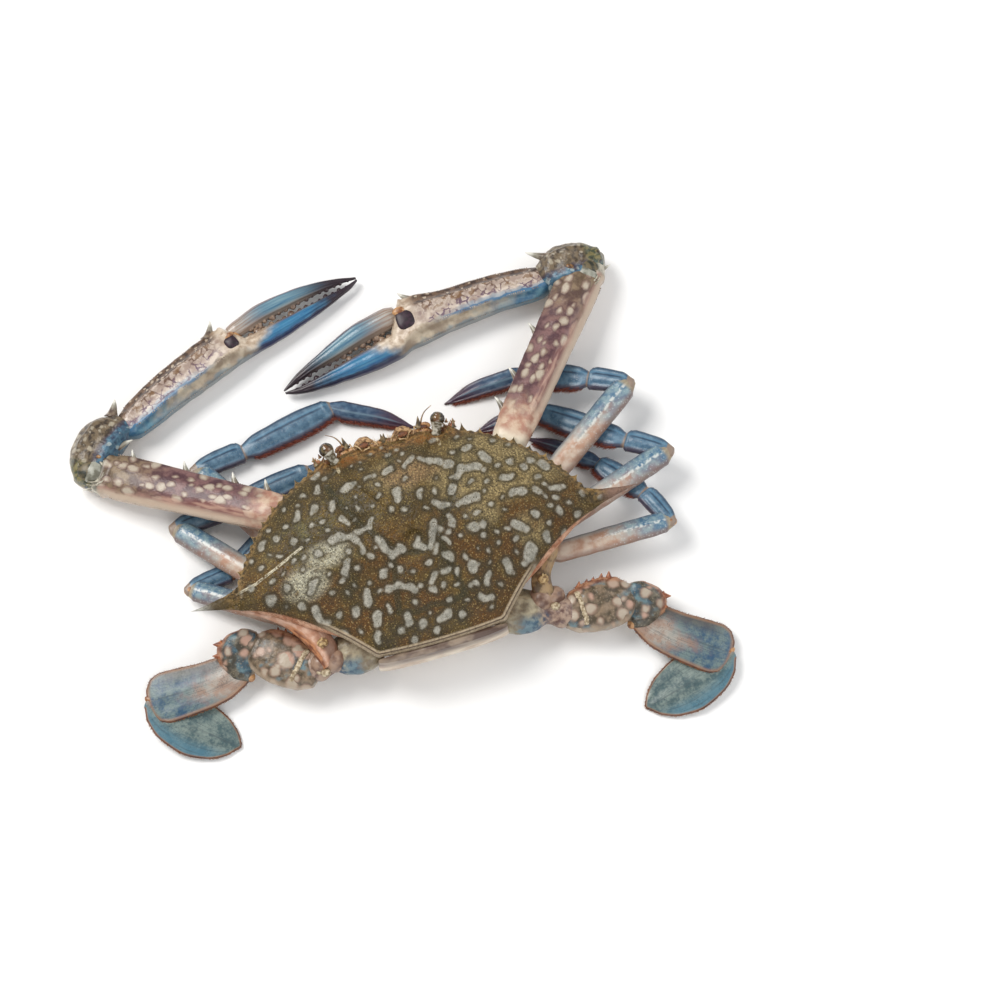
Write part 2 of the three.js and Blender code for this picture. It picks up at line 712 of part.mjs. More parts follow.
Object.entries(limbs).forEach(([limbName, parts]) => {
  const limb = new THREE.Group();
  const tints = TINT[limbName.match(/^[a-z]+/)[0]];
  Object.entries(parts).forEach(([partName, part]) => {
    limb.add(named(`${limbName}_${partName}`, part, tints[partName]));
  });
  crab.add(limb);
});

export default crab;
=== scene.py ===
"""Blue swimming crab, an adult male laid flat at life size.

Every piece of the shell, the limbs, the eyes and the fringes of hair is made here in
millimetres and written in metres. +X is the crab's right, +Y the way it looks, +Z up.
"""
import math

import bmesh
import bpy
import numpy as np
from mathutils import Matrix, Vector


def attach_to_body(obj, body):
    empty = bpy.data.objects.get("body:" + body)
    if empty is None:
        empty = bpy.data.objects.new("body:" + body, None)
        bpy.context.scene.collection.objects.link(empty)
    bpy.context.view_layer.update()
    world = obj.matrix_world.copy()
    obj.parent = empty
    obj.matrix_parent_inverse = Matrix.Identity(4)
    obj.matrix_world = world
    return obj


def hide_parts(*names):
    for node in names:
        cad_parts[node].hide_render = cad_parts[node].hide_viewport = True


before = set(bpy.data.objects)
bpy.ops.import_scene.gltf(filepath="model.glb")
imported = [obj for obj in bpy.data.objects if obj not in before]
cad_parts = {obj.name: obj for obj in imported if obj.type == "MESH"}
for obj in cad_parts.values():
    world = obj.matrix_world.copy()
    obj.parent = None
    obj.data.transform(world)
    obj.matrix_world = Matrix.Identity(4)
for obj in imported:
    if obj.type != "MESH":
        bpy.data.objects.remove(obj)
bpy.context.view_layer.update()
MM = 0.001
SIDES = {"left": -1, "right": 1}
FLIPS = {side: np.array([mirror, 1, 1]) for side, mirror in SIDES.items()}

# ---- the camera, the floor and the light ----

AIM = Vector((31.9, 5.25, 12)) * MM
AZIMUTH, ELEVATION, DISTANCE = math.radians(-16.5), math.radians(75), 0.9


def camera():
    data = bpy.data.cameras.new("camera")
    data.lens = 98
    data.sensor_width = 36
    data.clip_start = 0.01
    eye = bpy.data.objects.new("camera", data)
    bpy.context.scene.collection.objects.link(eye)
    back = Vector((
        math.sin(AZIMUTH) * math.cos(ELEVATION),
        -math.cos(AZIMUTH) * math.cos(ELEVATION),
        math.sin(ELEVATION),
    ))
    eye.location = AIM + back * DISTANCE
    eye.rotation_euler = (-back).to_track_quat("-Z", "Y").to_euler()
    bpy.context.scene.camera = eye


def soft_lamp(name, where, size, power, colour=(1, 1, 1)):
    data = bpy.data.lights.new(name, "AREA")
    data.size = size
    data.energy = power
    data.color = colour
    lamp = bpy.data.objects.new(name, data)
    bpy.context.scene.collection.objects.link(lamp)
    lamp.location = where
    lamp.rotation_euler = (AIM - Vector(where)).to_track_quat("-Z", "Y").to_euler()


def studio():
    """The floor, the pale room and three soft lamps."""
    camera()
    soft_lamp("key_lamp", (-0.45, 0.55, 0.95), 0.55, 10.5, (1, 0.98, 0.95))
    soft_lamp("fill_lamp", (0.75, -0.1, 0.7), 0.8, 3.2, (0.96, 0.98, 1))
    soft_lamp("back_lamp", (-0.1, -0.8, 0.55), 0.7, 2.6)
    world = bpy.data.worlds.new("pale_room")
    world.use_nodes = True
    world.node_tree.nodes["Background"].inputs[0].default_value = (1, 1, 1, 1)
    world.node_tree.nodes["Background"].inputs[1].default_value = 0.42
    bpy.context.scene.world = world
    bpy.context.scene.view_settings.view_transform = "Standard"
    mesh = bpy.data.meshes.new("floor")
    half = 3
    mesh.from_pydata(
        [(-half, -half, 0), (half, -half, 0), (half, half, 0), (-half, half, 0)], [], [(0, 1, 2, 3)],
    )
    floor = bpy.data.objects.new("floor", mesh)
    bpy.context.scene.collection.objects.link(floor)
    floor_paint = Paint("pale_floor", roughness=0.7)
    floor_paint.colour((0.94, 0.94, 0.94, 1))
    mesh.materials.append(floor_paint.material)


# ---- painting: each call adds one node to a finish ----


def srgb(red, green, blue):
    """A colour given in the everyday 0 to 255 steps."""
    def linear(value):
        value /= 255
        return value / 12.92 if value <= 0.04045 else ((value + 0.055) / 1.055) ** 2.4
    return (linear(red), linear(green), linear(blue), 1)


def tint(colour):
    """A painted colour as it is, or one in 0 to 255 steps made ready for a socket."""
    return srgb(*colour) if isinstance(colour, tuple) else colour


class Paint:
    """A finish under construction. Distances in it are millimetres."""

    def __init__(self, name, roughness=0.45, coat=0, specular=0.5):
        self.material = bpy.data.materials.new(name)
        self.material.use_nodes = True
        self.tree = self.material.node_tree
        self.shader = self.tree.nodes["Principled BSDF"]
        self.shader.inputs["Roughness"].default_value = roughness
        self.shader.inputs["Specular IOR Level"].default_value = specular
        self.shader.inputs["Coat Weight"].default_value = coat
        self.shader.inputs["Coat Roughness"].default_value = 0.18
        self.spot = None

    def add(self, kind, *values, out=0, **settings):
        node = self.tree.nodes.new(kind)
        for key, value in settings.items():
            setattr(node, key, value)
        for place, value in enumerate(values):
            if value is not None:
                self.feed(node.inputs[place], value)
        return node.outputs[out]

    def feed(self, socket, value):
        if isinstance(value, bpy.types.NodeSocket):
            self.tree.links.new(value, socket)
        else:
            socket.default_value = value

    def where(self):
        """The place on the crab, in millimetres."""
        if self.spot is None:
            place = self.add("ShaderNodeTexCoord", out=3)
            self.spot = self.add("ShaderNodeVectorMath", place, None, None, 1000, operation="SCALE")
        return self.spot

    def read(self, name, out=2):
        """A number kept on the piece under that name, or a vector from output 1."""
        return self.add("ShaderNodeAttribute", attribute_name=name, out=out)

    def lie(self):
        """The place on the piece: along it, towards its bending side, and up."""
        return self.split(self.read("lie", 1))

    def split(self, vector):
        node = self.tree.nodes.new("ShaderNodeSeparateXYZ")
        self.feed(node.inputs[0], vector)
        return node.outputs[0], node.outputs[1], node.outputs[2]

    def join(self, x, y, z):
        return self.add("ShaderNodeCombineXYZ", x, y, z)

    def maths(self, operation, a, b=None, c=None):
        return self.add("ShaderNodeMath", a, b, c, operation=operation)

    def times(self, a, b, plus=None):
        return self.maths("MULTIPLY" if plus is None else "MULTIPLY_ADD", a, b, plus)

    def off(self, value, middle):
        """How far a value is from the middle one."""
        return self.maths("ABSOLUTE", self.maths("SUBTRACT", value, middle))

    def centred(self, cloud):
        """A cloudy value moved to lie about 0."""
        return self.maths("SUBTRACT", cloud, 0.5)

    def drawn(self, x, x_times, y, y_times):
        """Places on a flat sheet, drawn out each way."""
        return self.join(self.times(x, x_times), self.times(y, y_times), 0)

    def vector(self, operation, a, b, out=0):
        return self.add("ShaderNodeVectorMath", a, b, operation=operation, out=out)

    def moved(self, where, *step):
        """The same places, that far away, for a pattern that must not match another."""
        return self.vector("ADD", where, step)

    def noise(self, where, size, detail=3, roughness=0.5):
        """Cloudy values from 0 to 1 whose clouds are about that size."""
        return self.add("ShaderNodeTexNoise", where, None, 1 / size, detail, roughness)

    def cells(self, where, size, feature="F1", out=0, randomness=1):
        node = self.tree.nodes.new("ShaderNodeTexVoronoi")
        node.feature = feature
        self.feed(node.inputs["Vector"], where)
        node.inputs["Scale"].default_value = 1 / size
        node.inputs["Randomness"].default_value = randomness
        return node.outputs[out]

    def spots(self, where, size, least, spread, flat=False):
        """Rounded spots of mixed sizes: above 0 inside them, and three chance values each."""
        node = self.tree.nodes.new("ShaderNodeTexVoronoi")
        node.voronoi_dimensions = "2D" if flat else "3D"
        self.feed(node.inputs["Vector"], where)
        node.inputs["Scale"].default_value = 1 / size
        chance = self.split(node.outputs["Color"])
        radius = self.maths("MULTIPLY_ADD", chance[0], spread, least)
        return self.maths("SUBTRACT", radius, node.outputs["Distance"]), chance

    def wavy(self, where, size, reach):
        """The same places pushed about, so that what is drawn on them is irregular."""
        drift = self.add("ShaderNodeTexNoise", where, None, 1 / size, 2, out=1)
        centred = self.vector("SUBTRACT", drift, (0.5, 0.5, 0.5))
        push = self.add("ShaderNodeVectorMath", centred, None, None, 2 * reach, operation="SCALE")
        return self.vector("ADD", where, push)

    def rise(self, value, low, high):
        """0 up to low and 1 from high on, or the other way where low is the larger."""
        flip = isinstance(low, (int, float)) and isinstance(high, (int, float)) and low > high
        node = self.tree.nodes.new("ShaderNodeMapRange")
        node.interpolation_type = "SMOOTHSTEP"
        self.feed(node.inputs["Value"], value)
        self.feed(node.inputs["From Min"], high if flip else low)
        self.feed(node.inputs["From Max"], low if flip else high)
        if flip:
            node.inputs["To Min"].default_value = 1
            node.inputs["To Max"].default_value = 0
        return node.outputs[0]

    def both(self, *masks):
        total = masks[0]
        for mask in masks[1:]:
            total = self.maths("MULTIPLY", total, mask)
        return total

    def either(self, *masks):
        total = masks[0]
        for mask in masks[1:]:
            total = self.maths("MAXIMUM", total, mask)
        return total

    def less(self, mask):
        return self.maths("SUBTRACT", 1, mask)

    def patch(self, centre, radii, soft=0.5):
        """1 inside an oval of the plan view and 0 outside it."""
        x, y, _ = self.split(self.where())
        across = self.maths("DIVIDE", self.maths("SUBTRACT", x, centre[0]), radii[0])
        along = self.maths("DIVIDE", self.maths("SUBTRACT", y, centre[1]), radii[1])
        far = self.maths(
            "ADD", self.maths("MULTIPLY", across, across), self.maths("MULTIPLY", along, along),
        )
        return self.rise(far, 1, max(0, 1 - soft))

    def blend(self, mask, under, over):
        """One colour where the mask is 0, the other where it is 1; a group of masks is multiplied."""
        if isinstance(mask, tuple):
            mask = self.both(*mask)
        node = self.tree.nodes.new("ShaderNodeMix")
        node.data_type = "RGBA"
        self.feed(node.inputs["Factor"], mask)
        self.feed(node.inputs[6], tint(under))
        self.feed(node.inputs[7], tint(over))
        return node.outputs[2]

    def shade(self, value, low, high, under, over):
        """One colour up to low and the other from high on."""
        return self.blend(self.rise(value, low, high), under, over)

    def colour(self, value):
        self.feed(self.shader.inputs["Base Color"], value)

    def rough(self, value):
        self.feed(self.shader.inputs["Roughness"], value)

    def relief(self, height, depth, strength=1, below=None):
        """Small relief whose full height is that many millimetres."""
        node = self.tree.nodes.new("ShaderNodeBump")
        node.inputs["Strength"].default_value = strength
        node.inputs["Distance"].default_value = depth * MM
        self.feed(node.inputs["Height"], height)
        if below is not None:
            self.feed(node.inputs["Normal"], below)
        self.tree.links.new(node.outputs[0], self.shader.inputs["Normal"])
        return node.outputs[0]

    def done(self, colour, height, depth, strength):
        """The finish with its colour and its relief."""
        self.colour(colour)
        self.relief(height, depth, strength)
        return self.material


def paint(name, roughness, coat):
    """A finish under construction, the place on the crab and the place on the piece."""
    p = Paint(name, roughness, coat)
    return (p, p.where(), *p.lie())


# ---- the finishes ----


def shell_finish(name):
    """The back: beaded olive and brown, pitted, with haloed blotches and an amber brow; painted shade
    darkens its furrows and the gaps between its beads, and a painted whitish sheen lies on its left half.
    """
    p = Paint(name, roughness=0.48, specular=0.32)
    where = p.where()
    x, y, z = p.split(where)
    share, crease, under = p.lie()
    side = p.maths("ABSOLUTE", x)
    flat = p.join(x, y, p.times(z, 0.5))

    gap = p.read("marks")
    ragged = p.centred(p.noise(flat, 2.8, 2))
    crumbs = p.centred(p.noise(where, 0.7, 1))
    field = p.times(crumbs, 0.3, p.times(ragged, 0.8, gap))
    pale = p.rise(field, 0.3, -0.5)
    halo = p.both(p.rise(field, 1.4, 0.35), p.less(pale))

    bead = p.cells(where, 0.78)
    bead_tint = p.split(p.cells(where, 0.78, out=1))[2]
    pit = p.rise(p.cells(p.moved(where, 5, 5, 5), 0.74), 0.4, 0.2)
    olive = p.shade(p.noise(flat, 9), 0.36, 0.64, (72, 60, 26), (116, 92, 42))
    warm = p.both(p.rise(p.noise(p.moved(flat, 9, 40, 0), 12), 0.38, 0.6), p.rise(y, 9, -8))
    ground = p.blend((warm, 0.88), olive, (106, 68, 20))
    tan = p.either(p.patch((2, 17), (13, 8), 0.8), p.patch((32, 12), (29, 16), 0.7))
    tan = p.either(tan, p.patch((37, -12), (7, 7), 0.9), p.patch((24, -3), (7, 6), 0.9))
    tan = p.both(tan, p.rise(p.noise(flat, 7), 0.14, 0.5))
    tan_tone = p.blend(p.patch((5, 17), (13, 8), 0.9), (172, 152, 106), (168, 136, 96))
    ground = p.blend((tan, 0.86), ground, tan_tone)
    # Painted highlight: a whitish sheen on the left half of the back; the pits show darker in it.
    painted_sheen = p.either(p.patch((-37, -9), (10, 6.6), 1), p.patch((-28, -2.4), (10, 5.6), 1))
    painted_sheen = p.both(painted_sheen, p.rise(p.noise(flat, 3.4), 0.2, 0.48))
    ground = p.blend(painted_sheen, ground, (206, 202, 178))
    mist = p.both(
        p.patch((-29, 3), (26, 16), 0.9), p.rise(p.noise(p.moved(flat, 30, 0, 9), 6), 0.45, 0.7),
    )
    ground = p.blend((mist, 0.45), ground, (126, 126, 88))
    gold = p.both(p.rise(bead, 0.46, 0.16), p.rise(bead_tint, 0.1, 0.8))
    # Painted shade: darker in the gaps between the beads.
    ground = p.blend((p.rise(bead, 0.34, 0.58), 0.54), ground, (50, 38, 20))
    ground = p.blend((gold, 0.52), ground, (176, 156, 108))
    # Painted shade: darker in the furrows of the back.
    ground = p.blend((p.rise(crease, 0.2, 0.85), 0.65), ground, (46, 48, 30))
    ground = p.blend((halo, 0.76), ground, (56, 48, 29))
    dark = p.both(pit, p.times(p.either(tan, painted_sheen), 0.42, 0.28))
    ground = p.blend(dark, ground, (40, 34, 22))
    crest = p.both(
        p.rise(crease, -0.35, -0.85), p.rise(x, 10, -30), p.rise(p.noise(where, 1.4, 2), 0.3, 0.5),
    )
    ground = p.blend(crest, ground, (214, 206, 182))

    milk = p.shade(p.noise(flat, 1.6), 0.34, 0.66, (132, 129, 118), (165, 161, 149))
    milk = p.blend((p.rise(bead, 0.46, 0.16), 0.3), milk, (188, 184, 170))
    tone = p.blend(pale, ground, p.blend((pit, 0.2), milk, (96, 90, 74)))

    face = p.both(p.rise(y, 24, 28.5), p.rise(side, 31, 25), p.rise(p.noise(flat, 2.4), 0.3, 0.55))
    amber = p.shade(p.noise(where, 1.3), 0.36, 0.64, (82, 52, 24), (158, 118, 68))
    cheeks = p.either(p.patch((13, 27.2), (4.4, 2.6), 0.6), p.patch((-13.4, 27.2), (4.4, 2.6), 0.6))
    amber = p.blend((cheeks, 0.75), amber, (140, 88, 34))
    tone = p.blend((face, p.less(p.both(pale, 0.9)), 0.8), tone, amber)
    stitch = p.either(p.patch((17, 25.4), (0.7, 2.4), 0.6), p.patch((-17, 25.4), (0.7, 2.4), 0.6))
    tone = p.blend((stitch, p.rise(ragged, -0.16, 0.06), 0.9), tone, (214, 200, 166))

    edge_tone = p.shade(p.noise(where, 1.5), 0.38, 0.62, (58, 46, 26), (150, 120, 74))
    tone = p.blend((p.rise(share, 0.95, 0.995), p.rise(y, -10, -2), 0.9), tone, edge_tone)
    spike_tone = p.shade(x, -1, 1, p.shade(side, 67, 74, (78, 66, 44), (190, 190, 182)), (130, 102, 88))
    tone = p.blend((p.rise(side, 61, 67), 0.9), tone, spike_tone)
    tone = p.blend((p.rise(share, 1.7, 1.98), p.rise(y, -2, 0), 0.75), tone, (198, 180, 142))

    back_rim = p.both(p.rise(y, -20, -25), p.rise(share, 0.952, 0.968))
    tone = p.blend(back_rim, tone, p.blend(p.noise(where, 2), (140, 120, 96), (188, 172, 146)))
    line = p.both(back_rim, p.rise(p.off(share, 0.982), 0.008, 0.003))
    tone = p.blend((line, 0.8), tone, (66, 48, 34))

    wall = p.shade(p.noise(where, 3), 0.35, 0.65, (166, 112, 84), (206, 162, 134))
    strip = p.both(p.rise(under, 0.5, 0.62), p.rise(y, 2, -6))
    rib = p.rise(p.noise(p.join(p.times(x, 3), y, z), 3), 0.35, 0.65)
    wall = p.blend(strip, wall, p.blend(rib, (104, 58, 32), (172, 110, 70)))
    wall = p.shade(y, -2, 6, wall, p.blend(p.noise(where, 6, 2), (222, 208, 188), (196, 176, 156)))
    p.colour(p.shade(under, 0.04, 0.12, tone, wall))

    coarse = p.both(p.rise(bead, 0.55, 0.1), p.less(p.both(pale, 0.4)))
    height = p.times(p.both(pit, 0.6), -0.8, coarse)
    fine = p.relief(p.noise(where, 0.5, 2), 0.08, 0.6)
    p.relief(height, 0.26, 1, below=fine)
    p.rough(p.times(p.noise(flat, 3, 2), 0.3, 0.33))
    return p.material


def arm_finish(name):
    """The long upper arm of a claw: plum with rows of cream ovals, rosy cream behind."""
    p, where, along, fore, up = paint(name, 0.36, 0.1)
    cloud = p.noise(where, 4)
    skin = p.drawn(along, 50, fore, 7)
    plum = p.shade(cloud, 0.38, 0.62, (78, 48, 54), (124, 90, 88))
    olive = p.shade(cloud, 0.4, 0.6, (90, 72, 54), (132, 112, 88))
    deep = p.shade(p.times(cloud, 0.3, along), 0.76, 1.04, plum, olive)
    field, _ = p.spots(p.wavy(skin, 2.6, 1), 3.7, 0.2, 0.27, flat=True)
    cream = p.shade(field, 0.03, 0.26, (138, 116, 102), (186, 174, 156))
    cream = p.blend((p.rise(p.cells(where, 0.7), 0.3, 0.12), 0.35), cream, (132, 106, 86))
    front = p.blend((p.rise(field, -0.14, -0.03), 0.5), deep, (72, 44, 48))
    front = p.blend((p.rise(field, -0.06, 0.09), 0.9), front, cream)
    streak = p.noise(p.drawn(along, 12, fore, 8), 1.3)
    rosy = p.shade(streak, 0.34, 0.66, (116, 72, 68), (174, 138, 122))
    rosy = p.shade(p.times(streak, 0.3, fore), -0.5, -0.82, rosy, (190, 170, 150))
    rosy = p.blend((p.rise(field, 0, 0.12), p.rise(fore, -0.85, -0.5), 0.5), rosy, (206, 184, 164))
    wander = p.times(p.centred(cloud), 0.8, fore)
    lower = p.times(p.rise(along, 0.2, 0.9), -0.4, -0.3)
    tone = p.shade(p.maths("SUBTRACT", wander, lower), -0.16, 0.14, rosy, front)
    root = p.shade(p.noise(where, 3.2), 0.34, 0.66, (170, 122, 102), (202, 176, 152))
    tone = p.shade(p.times(p.noise(where, 4), 0.24, along), 0.4, 0.24, tone, root)
    tone = p.shade(along, 0.09, 0.03, tone, (224, 212, 190))
    rim = p.both(p.rise(p.times(cloud, 0.03, along), 0.955, 0.985), 0.8)
    tone = p.blend(rim, tone, p.shade(cloud, 0.4, 0.6, (96, 104, 92), (196, 192, 176)))
    below = p.blend(p.noise(where, 6, 2), (222, 210, 192), (200, 172, 156))
    return p.done(
        p.shade(up, -0.1, -0.45, tone, below),
        p.times(p.rise(field, -0.03, 0.06), 0.3, p.noise(where, 0.6)), 0.2, 0.8,
    )


def wrist_finish(name):
    """The wrist of a claw: brown with cream mottling outside, blue inside, green at the elbow."""
    p, where, along, fore, up = paint(name, 0.36, 0.1)
    cloud = p.noise(p.wavy(where, 3, 0.8), 1.9)
    x, y, _ = p.split(p.wavy(where, 2, 0.9))
    field, _ = p.spots(p.join(x, y, 0), 2.9, 0.06, 0.34, flat=True)
    outer = p.shade(cloud, 0.36, 0.6, (56, 44, 32), (112, 96, 74))
    outer = p.blend((p.rise(field, -0.08, 0.12), 0.75), outer, (168, 158, 138))
    inner = p.shade(cloud, 0.26, 0.74, (34, 56, 82), (80, 118, 138))
    inner = p.blend((p.rise(field, 0.04, 0.14), 0.7), inner, (166, 178, 176))
    edge = p.times(p.centred(cloud), 0.6, fore)
    seam = p.rise(p.off(edge, 0.3), 0.2, 0.02)
    tone = p.shade(edge, 0.24, 0.42, outer, inner)
    tone = p.blend((seam, 0.7), tone, (46, 34, 56))
    crescent = p.both(p.rise(along, 0.06, -0.1), p.rise(cloud, 0.3, 0.5))
    green = p.shade(p.noise(where, 1.4), 0.4, 0.6, (44, 64, 46), (124, 116, 72))
    tone = p.blend((crescent, 0.8), tone, green)
    below = p.blend(cloud, (206, 194, 174), (162, 146, 130))
    return p.done(
        p.shade(up, -0.1, -0.5, tone, below),
        p.times(p.rise(field, -0.04, 0.08), 0.4, p.noise(where, 0.7)), 0.22, 0.8,
    )


def hand_finish(name):
    """The palm and its fixed finger; the place along it passes 1 where the finger starts."""
    p, where, along, fore, up = paint(name, 0.34, 0.15)
    noise = p.centred(p.noise(where, 3.2))
    across = p.times(noise, 0.4, fore)
    wavy = p.wavy(p.wavy(where, 3, 1), 1, 0.4)
    net = p.cells(wavy, 2.8, feature="DISTANCE_TO_EDGE")
    width = p.times(p.noise(where, 2.2, 2), 0.34, -0.1)
    lace = p.rise(p.maths("SUBTRACT", net, width), 0.06, -0.04)
    lace = p.both(
        lace, p.less(p.rise(along, 0.78, 0.92)),
        p.rise(p.noise(p.moved(where, 8, 0, 4), 3.4, 2), 0.36, 0.52),
    )
    cream = p.shade(p.noise(where, 2.4), 0.35, 0.65, (160, 140, 128), (206, 192, 178))
    middle = p.blend((lace, 0.9), cream, p.shade(across, -0.4, 0.05, (92, 64, 44), (84, 56, 82)))
    stain = p.both(
        p.rise(p.noise(p.wavy(where, 2, 0.8), 2.4), 0.5, 0.6), p.rise(across, 0.1, -0.25),
        p.rise(along, 0.92, 0.76),
    )
    middle = p.blend((stain, 0.8), middle, (120, 88, 58))
    field, _ = p.spots(p.wavy(where, 1.5, 0.6), 2, 0.16, 0.26)
    outer = p.shade(p.noise(where, 1.8), 0.38, 0.62, (58, 40, 32), (108, 84, 66))
    outer = p.blend((p.rise(field, -0.02, 0.08), 0.85), outer, (186, 170, 150))
    outer = p.blend((p.rise(along, 0.84, 0.96), 0.7), outer, (158, 130, 104))
    tone = p.shade(across, -0.42, -0.58, middle, outer)
    mist = p.both(p.rise(across, 0.1, 0.3), p.less(p.rise(along, 0.5, 0.8)))
    tone = p.blend((mist, p.less(p.both(lace, 0.8)), 0.6), tone, (122, 148, 166))
    blue = p.shade(p.noise(where, 2.6), 0.35, 0.65, (44, 92, 124), (92, 134, 152))
    tan = p.shade(p.noise(where, 4), 0.35, 0.65, (144, 128, 110), (188, 174, 152))
    inner = p.shade(p.times(noise, 0.6, along), 0.06, 0.6, blue, tan)
    seam = p.both(p.rise(across, 0.6, 0.44), p.less(p.rise(along, 0.6, 0.86)))
    inner = p.blend((seam, 0.85), inner, (58, 104, 140))
    inner = p.blend((p.rise(across, 0.84, 0.98), 0.6), inner, (84, 118, 136))
    tone = p.shade(across, 0.34, 0.42, tone, inner)
    hinge = p.shade(p.noise(where, 2), 0.35, 0.65, (166, 144, 122), (208, 192, 172))
    tone = p.blend((p.rise(along, 0.86, 0.97), p.rise(across, 0.75, 0.4)), tone, hinge)

    grain = p.noise(p.drawn(along, 3, fore, 4), 1)
    bright = p.shade(grain, 0.28, 0.72, (28, 92, 138), (66, 132, 166))
    finger = p.shade(p.times(noise, 0.5, fore), 0.45, 0.95, bright, (42, 46, 80))
    finger = p.blend((p.rise(fore, -0.5, -0.85), 0.8), finger, (122, 98, 78))
    tip = p.rise(p.times(noise, 0.24, along), 1.52, 1.84)
    finger = p.blend(tip, finger, (38, 22, 34))
    start = p.times(p.less(p.rise(fore, -0.4, 0.9)), -0.16, along)
    tone = p.shade(p.times(noise, 0.16, start), 1, 1.2, tone, finger)
    below = p.blend(p.noise(where, 6, 2), (216, 204, 188), (174, 172, 174))
    return p.done(
        p.blend((p.rise(up, -0.15, -0.5), p.less(tip)), tone, below), p.noise(where, 0.6), 0.16, 0.7,
    )


def finger_finish(name):
    """The moving finger of a claw: tan at the hinge, teal above, violet-black at the tip."""
    p, where, along, fore, up = paint(name, 0.3, 0.2)
    grain = p.noise(p.drawn(along, 3, fore, 5), 1)
    teal = p.shade(grain, 0.3, 0.7, (62, 106, 134), (112, 144, 156))
    teal = p.blend((p.rise(fore, 0.4, 0.85), 0.85), teal, (124, 104, 86))
    base = p.shade(grain, 0.35, 0.65, (138, 112, 98), (178, 168, 156))
    tone = p.shade(p.times(grain, 0.35, along), 0.5, 0.2, teal, base)
    edge = p.rise(p.times(grain, 0.35, fore), -0.38, -0.72)
    tone = p.blend((edge, 0.92), tone, p.shade(along, 0.12, 0.6, (122, 88, 74), (60, 42, 62)))
    tip = p.rise(p.times(grain, 0.2, along), 0.58, 0.94)
    tone = p.blend(tip, tone, (38, 22, 32))
    below = p.blend(grain, (200, 190, 176), (132, 148, 164))
    return p.done(
        p.blend((p.rise(up, -0.2, -0.55), p.less(tip)), tone, below), p.noise(where, 0.6), 0.14, 0.7,
    )


def tooth_finish(name):
    """The biting teeth: horn brown at the hinge, black towards the tip of the finger."""
    p = Paint(name, roughness=0.3, coat=0.2)
    cloud = p.noise(p.where(), 1.1, 2)
    tone = p.read("tone")
    horn = p.shade(cloud, 0.35, 0.65, (88, 66, 54), (154, 130, 110))
    p.colour(p.shade(tone, 0.35, 0.7, horn, (44, 26, 32)))
    return p.material


def thigh_finish(name):
    """The upper leg: pinkish cream at its root, blue towards the knee, with a painted highlight along the
    top of its ridge.
    """
    p, where, along, fore, up = paint(name, 0.34, 0.15)
    cloud = p.noise(where, 4)
    root = p.shade(cloud, 0.35, 0.65, (176, 136, 112), (204, 186, 168))
    blue = p.shade(p.noise(where, 2), 0.35, 0.65, (68, 106, 134), (128, 152, 160))
    drift = p.times(p.centred(cloud), 0.5, along)
    rear = p.shade(drift, 0.46, 0.96, root, blue)
    front = p.shade(
        drift, 0.36, 0.78, p.blend((p.rise(fore, 0.4, 0.9), 0.7), root, (170, 176, 174)), blue,
    )
    tone = p.shade(fore, -0.02, 0.12, rear, front)
    tone = p.blend((p.rise(fore, -0.45, -0.9), 0.7), tone, (128, 98, 84))
    tone = p.blend((p.rise(fore, 0.72, 0.95), 0.6), tone, (84, 92, 104))
    # Painted highlight: a pale pearly streak along the top of the ridge.
    pearl = p.rise(p.off(fore, 0.06), 0.2, 0.04)
    pearl = p.both(
        pearl, p.rise(up, 0.2, 0.6), p.rise(p.noise(where, 1.2), 0.4, 0.56), p.rise(along, 0.25, 0.6),
    )
    tone = p.blend((pearl, 0.7), tone, (220, 222, 216))
    speck = p.rise(p.cells(where, 0.9), 0.34, 0.14)
    tone = p.blend((speck, p.rise(along, 0.2, 0.6), 0.35), tone, (200, 208, 208))
    tone = p.blend(
        (p.rise(along, 0.955, 0.99), 0.85), tone, p.blend(cloud, (116, 96, 70), (184, 168, 136)),
    )
    below = p.blend(cloud, (216, 202, 184), (178, 174, 172))
    return p.done(p.shade(up, -0.1, -0.5, tone, below), p.noise(where, 0.6), 0.16, 0.7)


def shin_finish(name):
    """The blue lower pieces of a walking leg."""
    p, where, along, fore, up = paint(name, 0.34, 0.15)
    cloud = p.noise(where, 2.4, 4, 0.6)
    steel = p.shade(cloud, 0.3, 0.7, (54, 88, 114), (92, 124, 146))
    fleck = p.rise(p.cells(where, 0.75), 0.34, 0.12)
    steel = p.blend((fleck, p.rise(p.noise(where, 4, 2), 0.36, 0.56), 0.4), steel, (140, 152, 150))
    dark = p.either(p.rise(fore, 0.55, 0.86), p.rise(fore, -0.62, -0.88))
    steel = p.blend((dark, 0.75), steel, p.shade(fore, -0.1, 0.1, (32, 48, 72), (66, 40, 52)))
    line = p.rise(p.off(fore, -0.28), 0.14, 0.02)
    steel = p.blend((line, 0.7, p.rise(along, 0.1, 0.2), p.rise(along, 0.95, 0.8)), steel, (26, 44, 70))
    glow = p.rise(p.off(fore, -0.5), 0.14, 0.02)
    steel = p.blend((glow, 0.45), steel, (96, 140, 168))
    ends = p.either(p.rise(along, 0.03, -0.01), p.rise(along, 0.965, 0.995))
    steel = p.blend((ends, 0.8), steel, (150, 124, 100))
    below = p.blend(cloud, (150, 156, 160), (92, 120, 144))
    return p.done(p.shade(up, -0.2, -0.6, steel, below), p.noise(where, 0.5), 0.16, 0.7)


